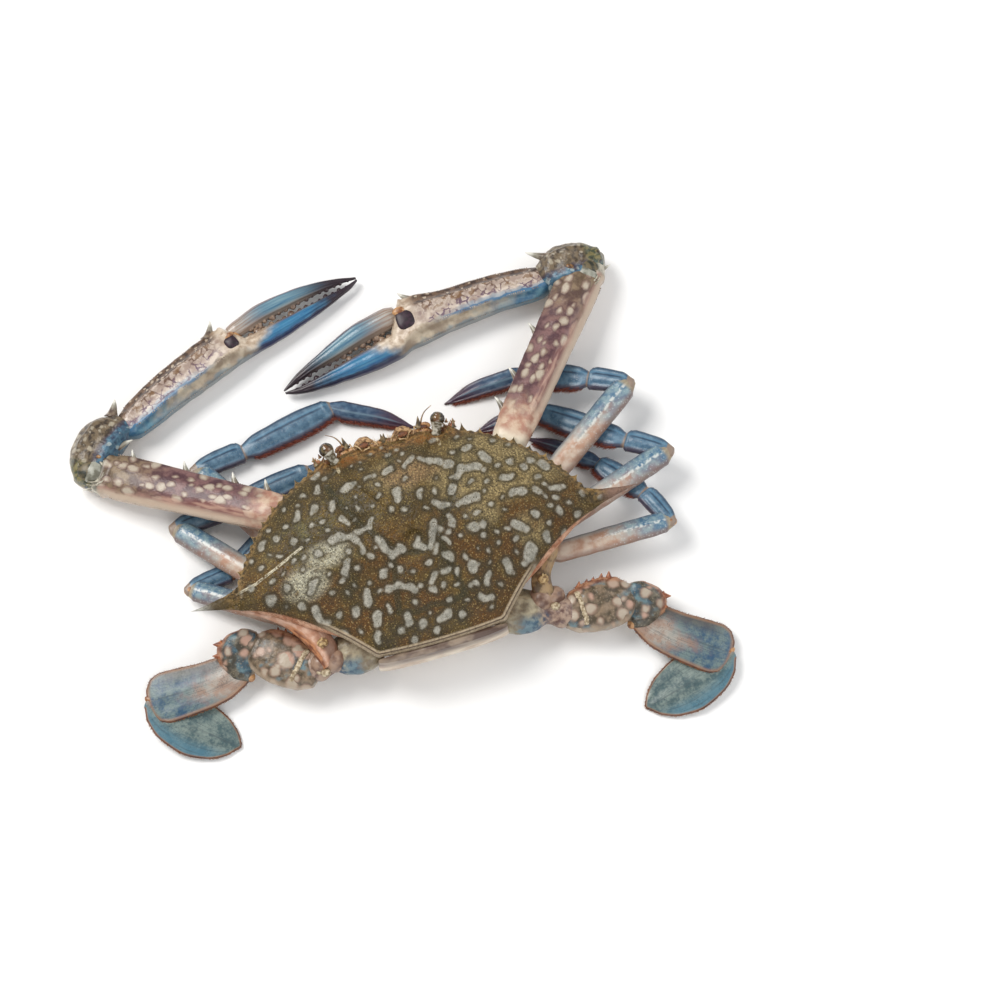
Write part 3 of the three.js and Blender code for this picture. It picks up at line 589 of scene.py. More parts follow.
def toe_finish(name):
    """The last piece of a walking leg, blue going to violet-brown at the point."""
    p, where, along, fore, _ = paint(name, 0.34, 0.12)
    cloud = p.noise(where, 1.8)
    blue = p.shade(cloud, 0.3, 0.7, (46, 70, 98), (80, 106, 130))
    tone = p.shade(
        p.times(cloud, 0.3, along), 0.5, 0.95, blue, p.blend(cloud, (48, 34, 58), (84, 60, 76)),
    )
    line = p.rise(p.off(fore, 0.12), 0.16, 0.04)
    tone = p.blend((line, 0.6, p.rise(along, 0.9, 0.7)), tone, (108, 134, 150))
    edge = p.either(p.rise(fore, 0.5, 0.85), p.rise(fore, -0.7, -0.95))
    tone = p.blend((edge, 0.8), tone, (60, 34, 42))
    return p.done(p.shade(along, 0.93, 1, tone, (56, 32, 28)), p.noise(where, 0.5), 0.14, 0.7)


THIGH_MARKS = [
    (-50.3, -27.2, 3), (-45.6, -25, 2.1), (-47.6, -21.1, 2.2),
    (-55.5, -15.8, 1.8), (-57.4, -21.9, 1.8), (-54.6, -29.5, 2),
]


def oar_arm_finish(name, dark, light, blue_from, marks=()):
    """The stout pieces of a swimming leg: soft cream-pink blotches on olive, blue between."""
    p, where, along, fore, up = paint(name, 0.38, 0.1)
    cloud = p.noise(where, 2.6)
    x, y, _ = p.split(p.wavy(where, 3, 1))
    field, chance = p.spots(p.join(x, y, 0), 5, 0.16, 0.3, flat=True)
    for cx, cy, size in marks:
        far = p.vector("DISTANCE", p.join(x, y, 0), (cx, cy, 0), out=1)
        field = p.maths("MAXIMUM", field, p.times(far, -0.2, 0.2 * size))
    ground = p.shade(cloud, 0.36, 0.64, dark, light)
    blue = p.rise(
        p.times(cloud, 0.4, p.noise(p.moved(where, 20, 3, 0), 6, 2)), blue_from, blue_from + 0.16,
    )
    ground = p.blend((blue, 0.85), ground, p.shade(cloud, 0.4, 0.6, (50, 82, 100), (92, 124, 134)))
    ground = p.blend((p.rise(p.cells(where, 0.9), 0.36, 0.16), 0.35), ground, (160, 146, 120))
    ground = p.blend((p.rise(field, -0.22, -0.04), 0.42), ground, (66, 52, 40))
    pink = p.shade(chance[1], 0.35, 0.65, (178, 164, 146), (184, 148, 130))
    pink = p.shade(field, 0.22, 0, pink, (144, 116, 98))
    tone = p.blend((p.rise(field, -0.08, 0.12), 0.9), ground, pink)
    front = p.both(p.rise(fore, 0.66, 0.9), p.rise(along, 1, 0.8))
    tone = p.blend((front, 0.8), tone, p.shade(cloud, 0.4, 0.6, (122, 68, 42), (184, 132, 98)))
    tone = p.blend((p.rise(fore, -0.8, -0.97), 0.6), tone, (178, 158, 136))
    below = p.blend(cloud, (206, 190, 168), (176, 156, 136))
    return p.done(p.shade(up, -0.1, -0.5, tone, below), p.noise(where, 0.7), 0.2, 0.8)


def oar_blade_finish(name, blue_from, low, high, edge_tone, rim):
    """The flat pieces of a swimming leg; blue_from says where along it the blue begins."""
    p, where, along, fore, up = paint(name, 0.4, 0.1)
    cloud = p.noise(where, 4, 5, 0.62)
    fine = p.noise(where, 0.8)
    cream = p.shade(cloud, 0.35, 0.65, (148, 122, 106), (168, 160, 150))
    blue = p.shade(p.times(fine, 0.35, cloud), 0.5, 0.84, low, high)
    drift = p.times(p.centred(cloud), 0.8, along)
    drift = p.times(p.maths("ABSOLUTE", p.maths("ADD", fore, 0.2)), 0.5, drift)
    tone = p.shade(drift, blue_from - 0.24, blue_from + 0.24, cream, blue)
    tone = p.blend((p.rise(fore, 0.25, 0.8), p.rise(along, 1, 0.7), 0.75), tone, edge_tone)
    speck = p.both(p.rise(p.cells(where, 0.55), 0.4, 0.14), p.rise(p.noise(where, 2.6, 2), 0.4, 0.6))
    tone = p.blend((speck, 0.6), tone, (48, 62, 68))
    rib = p.rise(p.maths("ABSOLUTE", p.times(p.centred(fine), 0.2, fore)), 0.06, 0.01)
    tone = p.blend((rib, p.rise(along, 0.2, 0.6), 0.25), tone, (60, 66, 70))
    lines = p.noise(p.join(p.times(fore, 5, p.times(along, 3)), p.times(fore, 34), 0), 1.6, 4)
    tone = p.blend((p.rise(lines, 0.5, 0.66), 0.4), tone, (48, 62, 70))
    gap = p.read("brink")
    tone = p.blend((p.rise(gap, rim, 0.4), 0.7), tone, (152, 108, 72))
    tone = p.shade(gap, 0.6, 0.25, tone, p.shade(cloud, 0.4, 0.6, (74, 46, 40), (116, 72, 48)))
    below = p.blend(cloud, (180, 174, 164), (144, 154, 156))
    return p.done(p.shade(up, -0.1, -0.5, tone, below), fine, 0.16, 0.7)


def plain_finish(name, dark, light, size, roughness=0.45, coat=0, depth=0.1):
    """A quiet finish of two close colours in clouds of that size."""
    p = Paint(name, roughness=roughness, coat=coat)
    where = p.where()
    p.colour(p.shade(p.noise(where, size), 0.36, 0.64, dark, light))
    p.relief(p.noise(where, size * 0.25), depth, 0.6)
    return p.material


def eye_finish(name):
    """A wet eye, olive brown with a near-black band round its base, painted lighter on top as painted
    light and darker on its underside and flanks as painted shade.
    """
    p, where, along, fore, up = paint(name, 0.14, 0.6)
    bulb = p.shade(p.noise(where, 1.1), 0.36, 0.62, (40, 32, 20), (104, 88, 54))
    # Painted light: the top of the eye lighter brown.
    painted_lit_top = p.both(p.rise(up, 0.35, 0.95), p.rise(p.off(fore, 0.1), 0.6, 0.2))
    bulb = p.blend((painted_lit_top, 0.55), bulb, (112, 70, 38))
    # Near-black: the eye's own band at its base, and painted shade on its underside and flanks.
    ring = p.either(
        p.rise(along, 0.68, 0.62), p.rise(up, 0.25, -0.1), p.rise(p.maths("ABSOLUTE", fore), 0.72, 0.92),
    )
    return p.done(p.blend((ring, 0.92), bulb, (24, 17, 12)), p.cells(where, 0.22), 0.02, 0.4)


def tail_finish(name):
    """The folded tail: mauve brown at the rear rim of the shell, pale cream below."""
    p = Paint(name, roughness=0.4, coat=0.1)
    where = p.where()
    x, y, z = p.split(where)
    cloud = p.noise(p.join(p.times(x, 0.6), y, z), 3.4)
    cream = p.shade(cloud, 0.3, 0.7, (186, 164, 144), (226, 214, 196))
    mauve = p.shade(cloud, 0.34, 0.66, (92, 72, 62), (150, 132, 114))
    return p.done(p.shade(p.times(cloud, 5, z), 17, 23, cream, mauve), p.noise(where, 1.2), 0.1, 0.6)


def hair_finish(name, root, tip):
    """Bristles that change colour from root to tip."""
    p = Paint(name, roughness=0.6, specular=0.25)
    along, _, _ = p.lie()
    cloud = p.centred(p.noise(p.where(), 1.1, 2))
    p.colour(p.shade(p.maths("ADD", along, cloud), 0.1, 0.9, root, tip))
    return p.material


def spine_finish(name):
    """Spines: dark and mottled at the root, milky at the point."""
    p = Paint(name, roughness=0.3, coat=0.25)
    along, _, _ = p.lie()
    cloud = p.noise(p.where(), 1.5)
    root = p.shade(cloud, 0.36, 0.64, (78, 60, 50), (138, 122, 104))
    reach = p.times(cloud, 0.4, along)
    tone = p.shade(reach, 0.42, 0.9, root, (150, 146, 132))
    p.colour(p.shade(reach, 0.8, 1.1, tone, (222, 220, 210)))
    return p.material


def oar_hip_finish(name):
    """The first pieces of a swimming leg: ivory plates and mauve knobs with a blue patch."""
    p, where, along, fore, up = paint(name, 0.32, 0.2)
    cloud = p.noise(p.wavy(where, 3, 1), 2.2)
    ivory = p.shade(cloud, 0.3, 0.7, (116, 102, 80), (172, 160, 132))
    mauve = p.shade(cloud, 0.34, 0.66, (90, 64, 58), (166, 142, 124))
    tone = p.shade(along, 0.46, 0.62, ivory, mauve)
    reach = p.times(p.centred(cloud), 0.5, along)
    blue = p.both(p.rise(p.times(cloud, 0.4, fore), 0.1, -0.5), p.rise(p.off(reach, 0.42), 0.26, 0.04))
    tone = p.blend((blue, 0.92), tone, p.shade(cloud, 0.4, 0.6, (40, 76, 102), (86, 116, 130)))
    below = p.blend(cloud, (206, 190, 168), (170, 146, 128))
    return p.done(p.shade(up, -0.1, -0.5, tone, below), p.noise(where, 0.7), 0.2, 0.8)


# ---- shapes: soft curves through rows, sections and skins ----


def unit(vector):
    vector = np.asarray(vector, float)
    return vector / np.linalg.norm(vector, axis=-1, keepdims=True)


def smooth(value, low, high):
    """0 up to low and 1 from high on, eased between."""
    t = np.clip((np.asarray(value, float) - low) / (high - low), 0, 1)
    return t * t * (3 - 2 * t)


def cols(*values):
    """Columns side by side, each one number or a row of them."""
    return np.stack(np.broadcast_arrays(*values), -1)


def eased(rows, shares):
    """Every column of the rows read at those shares, without overshooting between rows. A short
    row is filled up with 0 to a share and three columns."""
    width = max(4, *(len(row) for row in rows))
    table = np.array([list(row) + [0] * (width - len(row)) for row in rows], float)
    place, values = table[:, 0], table[:, 1:]
    gap = np.diff(place)[:, None]
    slope = np.diff(values, axis=0) / gap
    before, after = slope[:-1], slope[1:]
    same = before * after > 0
    safe = np.where(same, before + after, 1)
    tangent = np.vstack([slope[:1], np.where(same, 2 * before * after / safe, 0), slope[-1:]])
    shares = np.clip(np.atleast_1d(shares), place[0], place[-1])
    k = np.clip(np.searchsorted(place, shares, side="right") - 1, 0, len(gap) - 1)
    t = ((shares - place[k]) / gap[k, 0])[:, None]
    return (
        (1 + 2 * t) * (1 - t) ** 2 * values[k]
        + t * (1 - t) ** 2 * gap[k] * tangent[k]
        + t * t * (3 - 2 * t) * values[k + 1]
        + t * t * (t - 1) * gap[k] * tangent[k + 1]
    )


def swell(points, size, seed):
    """A gentle unevenness from about -1 to 1 whose hills are about that size."""
    rng = np.random.default_rng(seed)
    total = np.zeros(points.shape[:-1])
    for _ in range(8):
        heading = unit(rng.normal(size=3)) * (2 * math.pi / size) * rng.uniform(0.6, 1.3)
        total = total + np.sin(points @ heading + rng.uniform(0, 2 * math.pi))
    return total / 4


def full_turn(steps):
    return np.linspace(0, 2 * math.pi, steps, endpoint=False)


def section(angle, power):
    """Across and up on a rounded-square section of half size 1."""
    c, s = np.cos(angle), np.sin(angle)
    return np.sign(c) * np.abs(c) ** (2 / power), np.sign(s) * np.abs(s) ** (2 / power)


def ridge(angle, degrees, width, height=1):
    """A keel that runs along a limb at that place round its section, or a groove if negative."""
    gap = (angle - math.radians(degrees) + math.pi) % (2 * math.pi) - math.pi
    return height * np.exp(-((gap / math.radians(width)) ** 2))


def between(share, start, end, fade=0.08):
    """1 over a stretch of the length, easing to 0 at its ends."""
    return smooth(share, start, start + fade) * (1 - smooth(share, end - fade, end))


def lip(share, place, width, height):
    """A raised hoop round a limb."""
    return height * np.exp(-(((share - place) / width) ** 2))


def carving(stretch, keels, hoops=()):
    """Keels and grooves along that stretch of a piece, each with its place round the section in
    degrees, its width and its height, and hoops round the piece."""
    def carve(share, angle):
        total = between(share, *stretch) * sum(ridge(angle, *keel) for keel in keels)
        return total + sum(lip(share, *hoop) for hoop in hoops)
    return carve


def attach(mesh, name, values):
    """A number or a vector kept on every point of a mesh."""
    values = np.asarray(values, np.float32)
    kind, field = ("FLOAT", "value") if values.ndim == 1 else ("FLOAT_VECTOR", "vector")
    mesh.attributes.new(name, kind, "POINT").data.foreach_set(field, values.ravel())


class Form:
    """Points, faces and their places on the piece, gathered into one mesh."""

    def __init__(self, name):
        self.name = name
        self.points, self.lies, self.faces, self.total = [], [], [], 0

    def add(self, points, faces, lies):
        points = np.asarray(points, float).reshape(-1, 3)
        lies = np.asarray(lies, float).reshape(-1, 3)
        self.points.append(points)
        self.lies.append(lies)
        self.faces += [tuple(int(i) + self.total for i in face) for face in faces]
        self.total += len(points)

    def rings(self, rings, lies, closed=True):
        """A skin over rings of equal count, with a fan over each end."""
        rings, lies = np.asarray(rings, float), np.asarray(lies, float)
        count, sides = rings.shape[:2]
        i, j = np.meshgrid(np.arange(count - 1), np.arange(sides), indexing="ij")
        k = (j + 1) % sides
        quads = np.stack([i * sides + j, i * sides + k, (i + 1) * sides + k, (i + 1) * sides + j], -1)
        faces = quads.reshape(-1, 4).tolist()
        points, places = rings.reshape(-1, 3), lies.reshape(-1, 3)
        if closed:
            last = (count - 1) * sides
            points = np.vstack([points, rings[0].mean(0), rings[-1].mean(0)])
            places = np.vstack([places, lies[0].mean(0), lies[-1].mean(0)])
            for a in range(sides):
                b = (a + 1) % sides
                faces += [(count * sides, b, a), (count * sides + 1, last + a, last + b)]
        self.add(points, faces, places)

    def ball(self, centre, radii, axes=None, turns=12, lie=(0.5, 0, 1), power=2):
        """A closed oval; axes are its three directions."""
        axes = np.eye(3) if axes is None else np.asarray(axes, float)
        tilt = np.linspace(-math.pi / 2, math.pi / 2, turns)[1:-1, None]
        c, s = section(full_turn(2 * turns)[None, :], power)
        local = cols(np.cos(tilt) * c, np.cos(tilt) * s, np.sin(tilt)) * np.array(radii)
        self.rings(np.asarray(centre) + local @ axes, np.broadcast_to(np.array(lie, float), local.shape))

    def horn(self, base, tip, radius, bend=(0, 0, 0), sides=10, steps=9):
        """A curved spine with a flared root."""
        base, tip, bend = (np.asarray(v, float) for v in (base, tip, bend))
        t = np.linspace(0, 1, steps)[:, None]
        centre = base + (tip - base) * t + bend * 4 * t * (1 - t)
        along = unit(np.gradient(centre, axis=0))
        helper = np.array([1, 0, 0]) if abs(along[0][2]) > 0.9 else np.array([0, 0, 1])
        across = unit(np.cross(helper, along))
        up = np.cross(along, across)
        size = radius * ((1 - t) ** 0.85 + 0.5 * np.exp(-t * 9) + 0.07)
        angle = full_turn(sides)[None, :, None]
        rings = centre[:, None] + size[:, None] * (
            across[:, None] * np.cos(angle) + up[:, None] * np.sin(angle)
        )
        lies = np.broadcast_to(cols(t, 0, 1), rings.shape)
        self.rings(rings, lies)

    def mesh(self, floor=-math.inf):
        """All of it as one mesh, with nothing below that height."""
        points = np.vstack(self.points)
        points[:, 2] = np.maximum(points[:, 2], floor)
        mesh = bpy.data.meshes.new(self.name)
        mesh.from_pydata((points * MM).tolist(), [], self.faces)
        attach(mesh, "lie", np.vstack(self.lies))
        work = bmesh.new()
        work.from_mesh(mesh)
        bmesh.ops.recalc_face_normals(work, faces=work.faces)
        work.to_mesh(mesh)
        work.free()
        mesh.shade_smooth()
        return mesh

    def piece(self, look, node=None, slot=None, extra=None):
        """A piece of the crab in that finish, with further numbers for its points."""
        mesh = self.mesh(0)
        for key, values in (extra or {}).items():
            attach(mesh, key, values)
        mesh.materials.append(finish(look))
        return placed(mesh, node)


def placed(mesh, node=None):
    """The mesh as a piece of the crab, standing for a solid of the frame where one is named."""
    piece = bpy.data.objects.new(mesh.name, mesh)
    bpy.context.scene.collection.objects.link(piece)
    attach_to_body(piece, "root")
    if node:
        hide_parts(node)
    return piece


# ---- limbs: where each joint lies ----

# For each limb: root, end of the hip, then lengths, headings in plan and heights of the joints
# beyond it. x is outward from the middle of the body.
LIMBS = {
    "left": {
        "claw": (
            [19, 8.5, 11], [33.3, 15.8, 19.4], [72, 17.5, 47.9, 46.9], [31.8, 133, 155.3, 167.5],
            [7.4, 6, 5.4, 3.4],
        ),
        "leg2": (
            [27, 1.5, 9], [38, 4, 11.4], [48, 16.5, 33.3, 28.4], [60.3, 172, 168, 209],
            [4.8, 3.4, 2.6, 0.4],
        ),
        "leg3": (
            [28, -7, 8.5], [41.9, -8, 11], [48.4, 15.5, 32.8, 25], [48.9, 174, 170, 198],
            [4.4, 2.5, 2.1, 0.3],
        ),
        "leg4": (
            [27, -16, 8.5], [39.8, -16.8, 10.8], [42, 14, 23, 24], [34.5, 171.5, 150, 173],
            [4.4, 2.4, 1.9, 0.3],
        ),
        "swim": (
            [20, -30, 12], [44.9, -31.3, 10], [19.6, 9.4, 32, 32], [42, -61, 0.5, -137],
            [8.6, 6, 3.7, 0.9],
        ),
    },
    "right": {
        "claw": (
            [19, 8.5, 11], [37.9, 19.6, 19.2], [75, 15, 51.8, 45.3], [51.2, 180.5, 181.6, 194.8],
            [7.4, 6, 5.4, 3.4],
        ),
        "leg2": (
            [27, 1.5, 9], [44, 4, 11.4], [48.6, 13.6, 23.6, 28], [34.4, 152, 153, 184.6],
            [13, 9.5, 3, 0.4],
        ),
        "leg3": (
            [28, -7, 8.5], [44, -9, 11], [48, 14.5, 31.6, 22.5], [17.6, 146, 140.5, 180],
            [12.5, 10, 3, 0.3],
        ),
        "leg4": (
            [27, -16, 8.5], [42, -17, 10.8], [41.6, 13.2, 20, 25.5], [-0.2, 113, 125, 141.8],
            [11.2, 9, 3.2, 0.3],
        ),
        "swim": (
            [20, -30.8, 12], [45.1, -37.7, 10], [19.4, 8.3, 31.7, 31.8], [0.5, -96.5, -35.3, -162.9],
            [8.6, 6, 3.7, 0.9],
        ),
    },
}


class Bone:
    """The line from one joint to the next; fore is the side the limb bends towards."""

    def __init__(self, start, end, mirror):
        self.start, self.length = start, float(np.linalg.norm(end - start))
        self.along = unit(end - start)
        self.fore = unit(np.cross((0, 0, mirror), self.along))
        self.up = np.cross(self.along, self.fore) * mirror

    def at(self, share, aside=0, rise=0):
        share, aside, rise = (np.asarray(v, float)[..., None] for v in (share, aside, rise))
        return self.start + self.along * share * self.length + self.fore * aside + self.up * rise


def bones(side, limb):
    """The bones of a limb, from the hip to the tip."""
    mirror = SIDES[side]
    root, hip, lengths, headings, heights = LIMBS[side][limb]
    flip = FLIPS[side]
    start = np.array(hip, float) * flip
    chain = [Bone(np.array(root, float) * flip, start, mirror)]
    for length, heading, height in zip(lengths, headings, heights):
        drop = height - start[2]
        reach = math.sqrt(length**2 - drop**2)
        turn = math.radians(heading)
        end = start + np.array([mirror * reach * math.cos(turn), reach * math.sin(turn), drop])
        chain.append(Bone(start, end, mirror))
        start = end
    return chain


# Sections of each piece: share of its length, half width, half thickness, and how far aside.
ROWS = {
    "claw_hip": [[0, 5, 4.6], [0.5, 6.1, 5.6], [1, 4.6, 4.2]],
    "claw_arm": [
        [0, 4.2, 3.8], [0.06, 6, 4.8], [0.5, 6.7, 5], [0.86, 7.3, 5.7], [0.97, 6.9, 5.2],
        [1.02, 5.8, 4.5], [1.06, 4.4, 3.7],
    ],
    "wrist": [
        [-0.3, 4.6, 4.2, 0.4], [0, 6.6, 6, 0.9], [0.4, 7.6, 7.4, 1], [0.8, 7.2, 6.8, 0.8],
        [1.1, 4.8, 4.6, 0.3],
    ],
    "palm_left": [
        [-0.02, 3.6, 3.4, 0.2], [0.06, 5.4, 4.6, 0.4], [0.4, 6.6, 5.4, -0.2], [0.8, 7.1, 5.7, 0.4],
        [0.98, 7.1, 5.4, 0.9],
    ],
    "palm_right": [
        [-0.02, 3.7, 3.6, 0.6], [0.06, 5.5, 4.8, 0.8], [0.35, 6.2, 5.5, 0.1], [0.7, 7.1, 5.8, 0.7],
        [0.86, 8.35, 5.8, 0.85], [0.97, 8.95, 5.4, 0.95],
    ],
    "fixed_left": [
        [0.08, 3.4, 3.2, 4.45], [0.3, 3.15, 2.9, 4.05], [0.58, 2.3, 2.4, 3.1], [0.8, 1.45, 1.7, 2.15],
        [0.93, 0.8, 1, 1.35], [1, 0.35, 0.4, 0.4],
    ],
    "fixed_right": [
        [0.11, 4.4, 4.1, 6.2], [0.3, 4.05, 3.8, 5.85], [0.58, 2.85, 2.9, 4.55], [0.8, 1.8, 2, 3.2],
        [0.93, 1, 1.2, 1.8], [1, 0.4, 0.45, 0.5],
    ],
    "finger_left": [
        [0, 2.2, 2.1, -3], [0.06, 2.8, 2.7, -3.2], [0.29, 3.2, 2.7, -4.5], [0.48, 2.9, 2.4, -4.4],
        [0.69, 2.15, 1.8, -3.65], [0.87, 1.15, 1.2, -2.25], [1, 0.35, 0.4, -0.5],
    ],
    "finger_right": [
        [0, 3, 2.9, -3.8], [0.06, 3.8, 3.7, -3.9], [0.29, 3.9, 3.6, -4.3], [0.48, 3.25, 3, -3.75],
        [0.69, 2.2, 2.2, -3], [0.87, 1.22, 1.4, -1.97], [1, 0.35, 0.4, -0.6],
    ],
    "walk_hip": [[0, 3.9, 3.4], [0.7, 3.9, 3.2], [1, 2.6, 2.2]],
    "walk_thigh": [
        [0, 2.4, 1.7], [0.09, 4, 2.3], [0.8, 4.3, 2.3], [0.93, 4.1, 2.25], [0.99, 3.1, 1.8],
        [1.03, 2.2, 1.4],
    ],
    "walk_knee": [
        [-0.12, 2, 1.4], [0.2, 3.6, 2, -0.4], [0.8, 4, 2.1, -0.6], [0.95, 3.6, 1.9, -0.2],
        [1.02, 2.4, 1.4],
    ],
    "walk_shin": [
        [-0.02, 2.3, 1.5], [0.16, 4.2, 2], [0.6, 4.85, 2.1], [0.9, 4, 1.85], [0.97, 3.2, 1.6],
        [1.01, 2.1, 1.1],
    ],
    "walk_toe": [[-0.02, 2, 1.3], [0.14, 3.4, 1.6], [0.6, 2.9, 1.3, -0.7], [1, 0.35, 0.35]],
    "swim_hip": [
        [0, 6.4, 5], [0.28, 7.4, 5.2], [0.5, 6.2, 4.8], [0.64, 3.9, 3.5], [0.82, 5.3, 4.2], [1, 3.8, 3.2],
    ],
    "swim_thigh": [[-0.22, 3.6, 2.8, -1], [0, 7.2, 4.2], [0.5, 8.5, 4.7], [0.82, 7.2, 4.1], [1, 4.4, 3]],
    "swim_knee": [
        [-0.45, 3, 2.6, 2.4], [-0.15, 5.4, 3.6, 3.8], [0.3, 6.5, 3.9, 4.4], [0.8, 6, 3.4, 3.6],
        [1.2, 3.6, 2.2, 1.6],
    ],
    "swim_blade": [
        [-0.06, 2.8, 1, 1.4], [0.06, 5.4, 1.3, 1.3], [0.25, 7.4, 1.5, 0.6], [0.5, 8, 1.5],
        [0.85, 8.6, 1.4], [0.97, 7.4, 1.2], [1.03, 4.8, 0.9],
    ],
    "paddle": [
        [-0.04, 2.6, 0.7, 0.8], [0.05, 5.8, 0.9, 1], [0.25, 8.7, 1.05, 1.3], [0.5, 9.6, 1, 1.4],
        [0.75, 7.8, 0.85, 1.1], [0.92, 4.4, 0.7, 0.6], [1, 1.2, 0.5],
    ],
}
WALKING_GIRTH = {2: 1, 3: 0.97, 4: 0.88}


def limb_rings(
    bone, rows, power=2.5, girth=1, sides=48, steps=60, carve=None, caps=(1.2, 1.2), uneven=0.1, seed=1,
):
    """Rings along a bone and each point's place on the piece. carve(share, angle) raises keels
    and cuts grooves, in millimetres; caps are how far the two ends are rounded off."""
    first, last = rows[0][0], rows[-1][0]
    shares = np.linspace(first, last, steps)
    size = eased(rows, shares) * girth
    grow = np.ones(steps)
    for end, depth in enumerate(caps):
        if depth <= 0:
            continue
        turn = np.radians([18, 36, 54, 70, 83])
        push = np.sin(turn) * depth / bone.length
        if end == 0:
            shares = np.concatenate([(first - push)[::-1], shares])
            size = np.vstack([np.repeat(size[:1], 5, 0), size])
            grow = np.concatenate([np.cos(turn)[::-1], grow])
        else:
            shares = np.concatenate([shares, last + push])
            size = np.vstack([size, np.repeat(size[-1:], 5, 0)])
            grow = np.concatenate([grow, np.cos(turn)])
    angle = full_turn(sides)[None, :]
    c, s = section(angle, power)
    share = shares[:, None]
    wide, thick, aside = size[:, :1] * grow[:, None], size[:, 1:2] * grow[:, None], size[:, 2:3]
    out = unit(cols(c / np.maximum(wide, 0.1), s / np.maximum(thick, 0.1)))
    spots = bone.at(share + 0 * c, aside + wide * c, thick * s)
    push = swell(spots, 5, seed) * uneven * grow[:, None]
    if carve is not None:
        push = carve(share, angle) * grow[:, None] + push
    spots = spots + push[..., None] * (bone.fore * out[..., :1] + bone.up * out[..., 1:])
    return spots, cols(share, c, s)


def edge_place(rows, share, direction):
    """How far aside the edge of a profile lies at a share of its length."""
    size = eased(rows, share)
    return size[:, 2] + direction * size[:, 0]


def limb_piece(node, bone, rows, look, slot, power=2.5, rimmed=False, **shape):
    """One plated piece of a limb in place of that solid; a rimmed one knows how far its rim is."""
    form = Form(node + "_shell")
    form.rings(*limb_rings(bone, rows, power, **shape))
    form.piece(
        look, node, slot, {"brink": rim_gap(np.vstack(form.points), bone, rows)} if rimmed else None,
    )


def lumps(name, look, balls, flip=1):
    """Rounded lumps in one piece: the place of each, its radii, and how finely it is turned."""
    form = Form(name)
    for centre, radii, turns, *power in balls:
        form.ball(np.array(centre) * flip, radii, None, turns, (0.5, 0, 1), *power)
    form.piece(look)


# ---- small things set along edges and over the skin ----


def sowing_tree():
    """Sets a copy of a template on every point, turned and stretched as the point says."""
    tree = bpy.data.node_groups.new("sow_along", "GeometryNodeTree")
    inputs = {
        "Roots": "Geometry", "Template": "Object", "Breadth": "Float", "Length": "Float",
        "Finish": "Material",
    }
    for name, kind in inputs.items():
        tree.interface.new_socket(name, in_out="INPUT", socket_type="NodeSocket" + kind)
    tree.interface.new_socket("Sown", in_out="OUTPUT", socket_type="NodeSocketGeometry")

    def add(kind, wires, out=0, **settings):
        """One node with its settings and what feeds each of its inputs."""
        node = tree.nodes.new(kind)
        for key, value in settings.items():
            setattr(node, key, value)
        for place, source in wires.items():
            if isinstance(source, str):
                node.inputs[place].default_value = source
            else:
                tree.links.new(source, node.inputs[place])
        return node.outputs[out]

    def point_vector(name):
        return add(
            "GeometryNodeInputNamedAttribute", {"Name": name}, "Attribute", data_type="FLOAT_VECTOR",
        )

    start = tree.nodes.new("NodeGroupInput").outputs
    size = add("ShaderNodeCombineXYZ", {0: start["Breadth"], 1: start["Breadth"], 2: start["Length"]})
    sown = add("GeometryNodeInstanceOnPoints", {
        "Points": start["Roots"],
        "Instance": add("GeometryNodeObjectInfo", {"Object": start["Template"]}, "Geometry"),
        "Rotation": add("FunctionNodeEulerToRotation", {0: point_vector("turn")}),
        "Scale": add("ShaderNodeVectorMath", {0: point_vector("stretch"), 1: size}, operation="MULTIPLY"),
    })
    real = add("GeometryNodeRealizeInstances", {0: sown})
    painted = add("GeometryNodeSetMaterial", {0: real, "Material": start["Finish"]})
    tree.links.new(painted, tree.nodes.new("NodeGroupOutput").inputs[0])
    return tree


def turns(aims, leans):
    """The turn that takes a template's height to each aim, and its bend towards each lean."""
    z = unit(aims)
    x = unit(leans - z * (leans * z).sum(-1, keepdims=True) + 1e-9)
    y = np.cross(z, x)
    return cols(
        np.arctan2(y[:, 2], z[:, 2]), -np.arcsin(np.clip(x[:, 2], -1, 1)), np.arctan2(x[:, 1], x[:, 0]),
    )


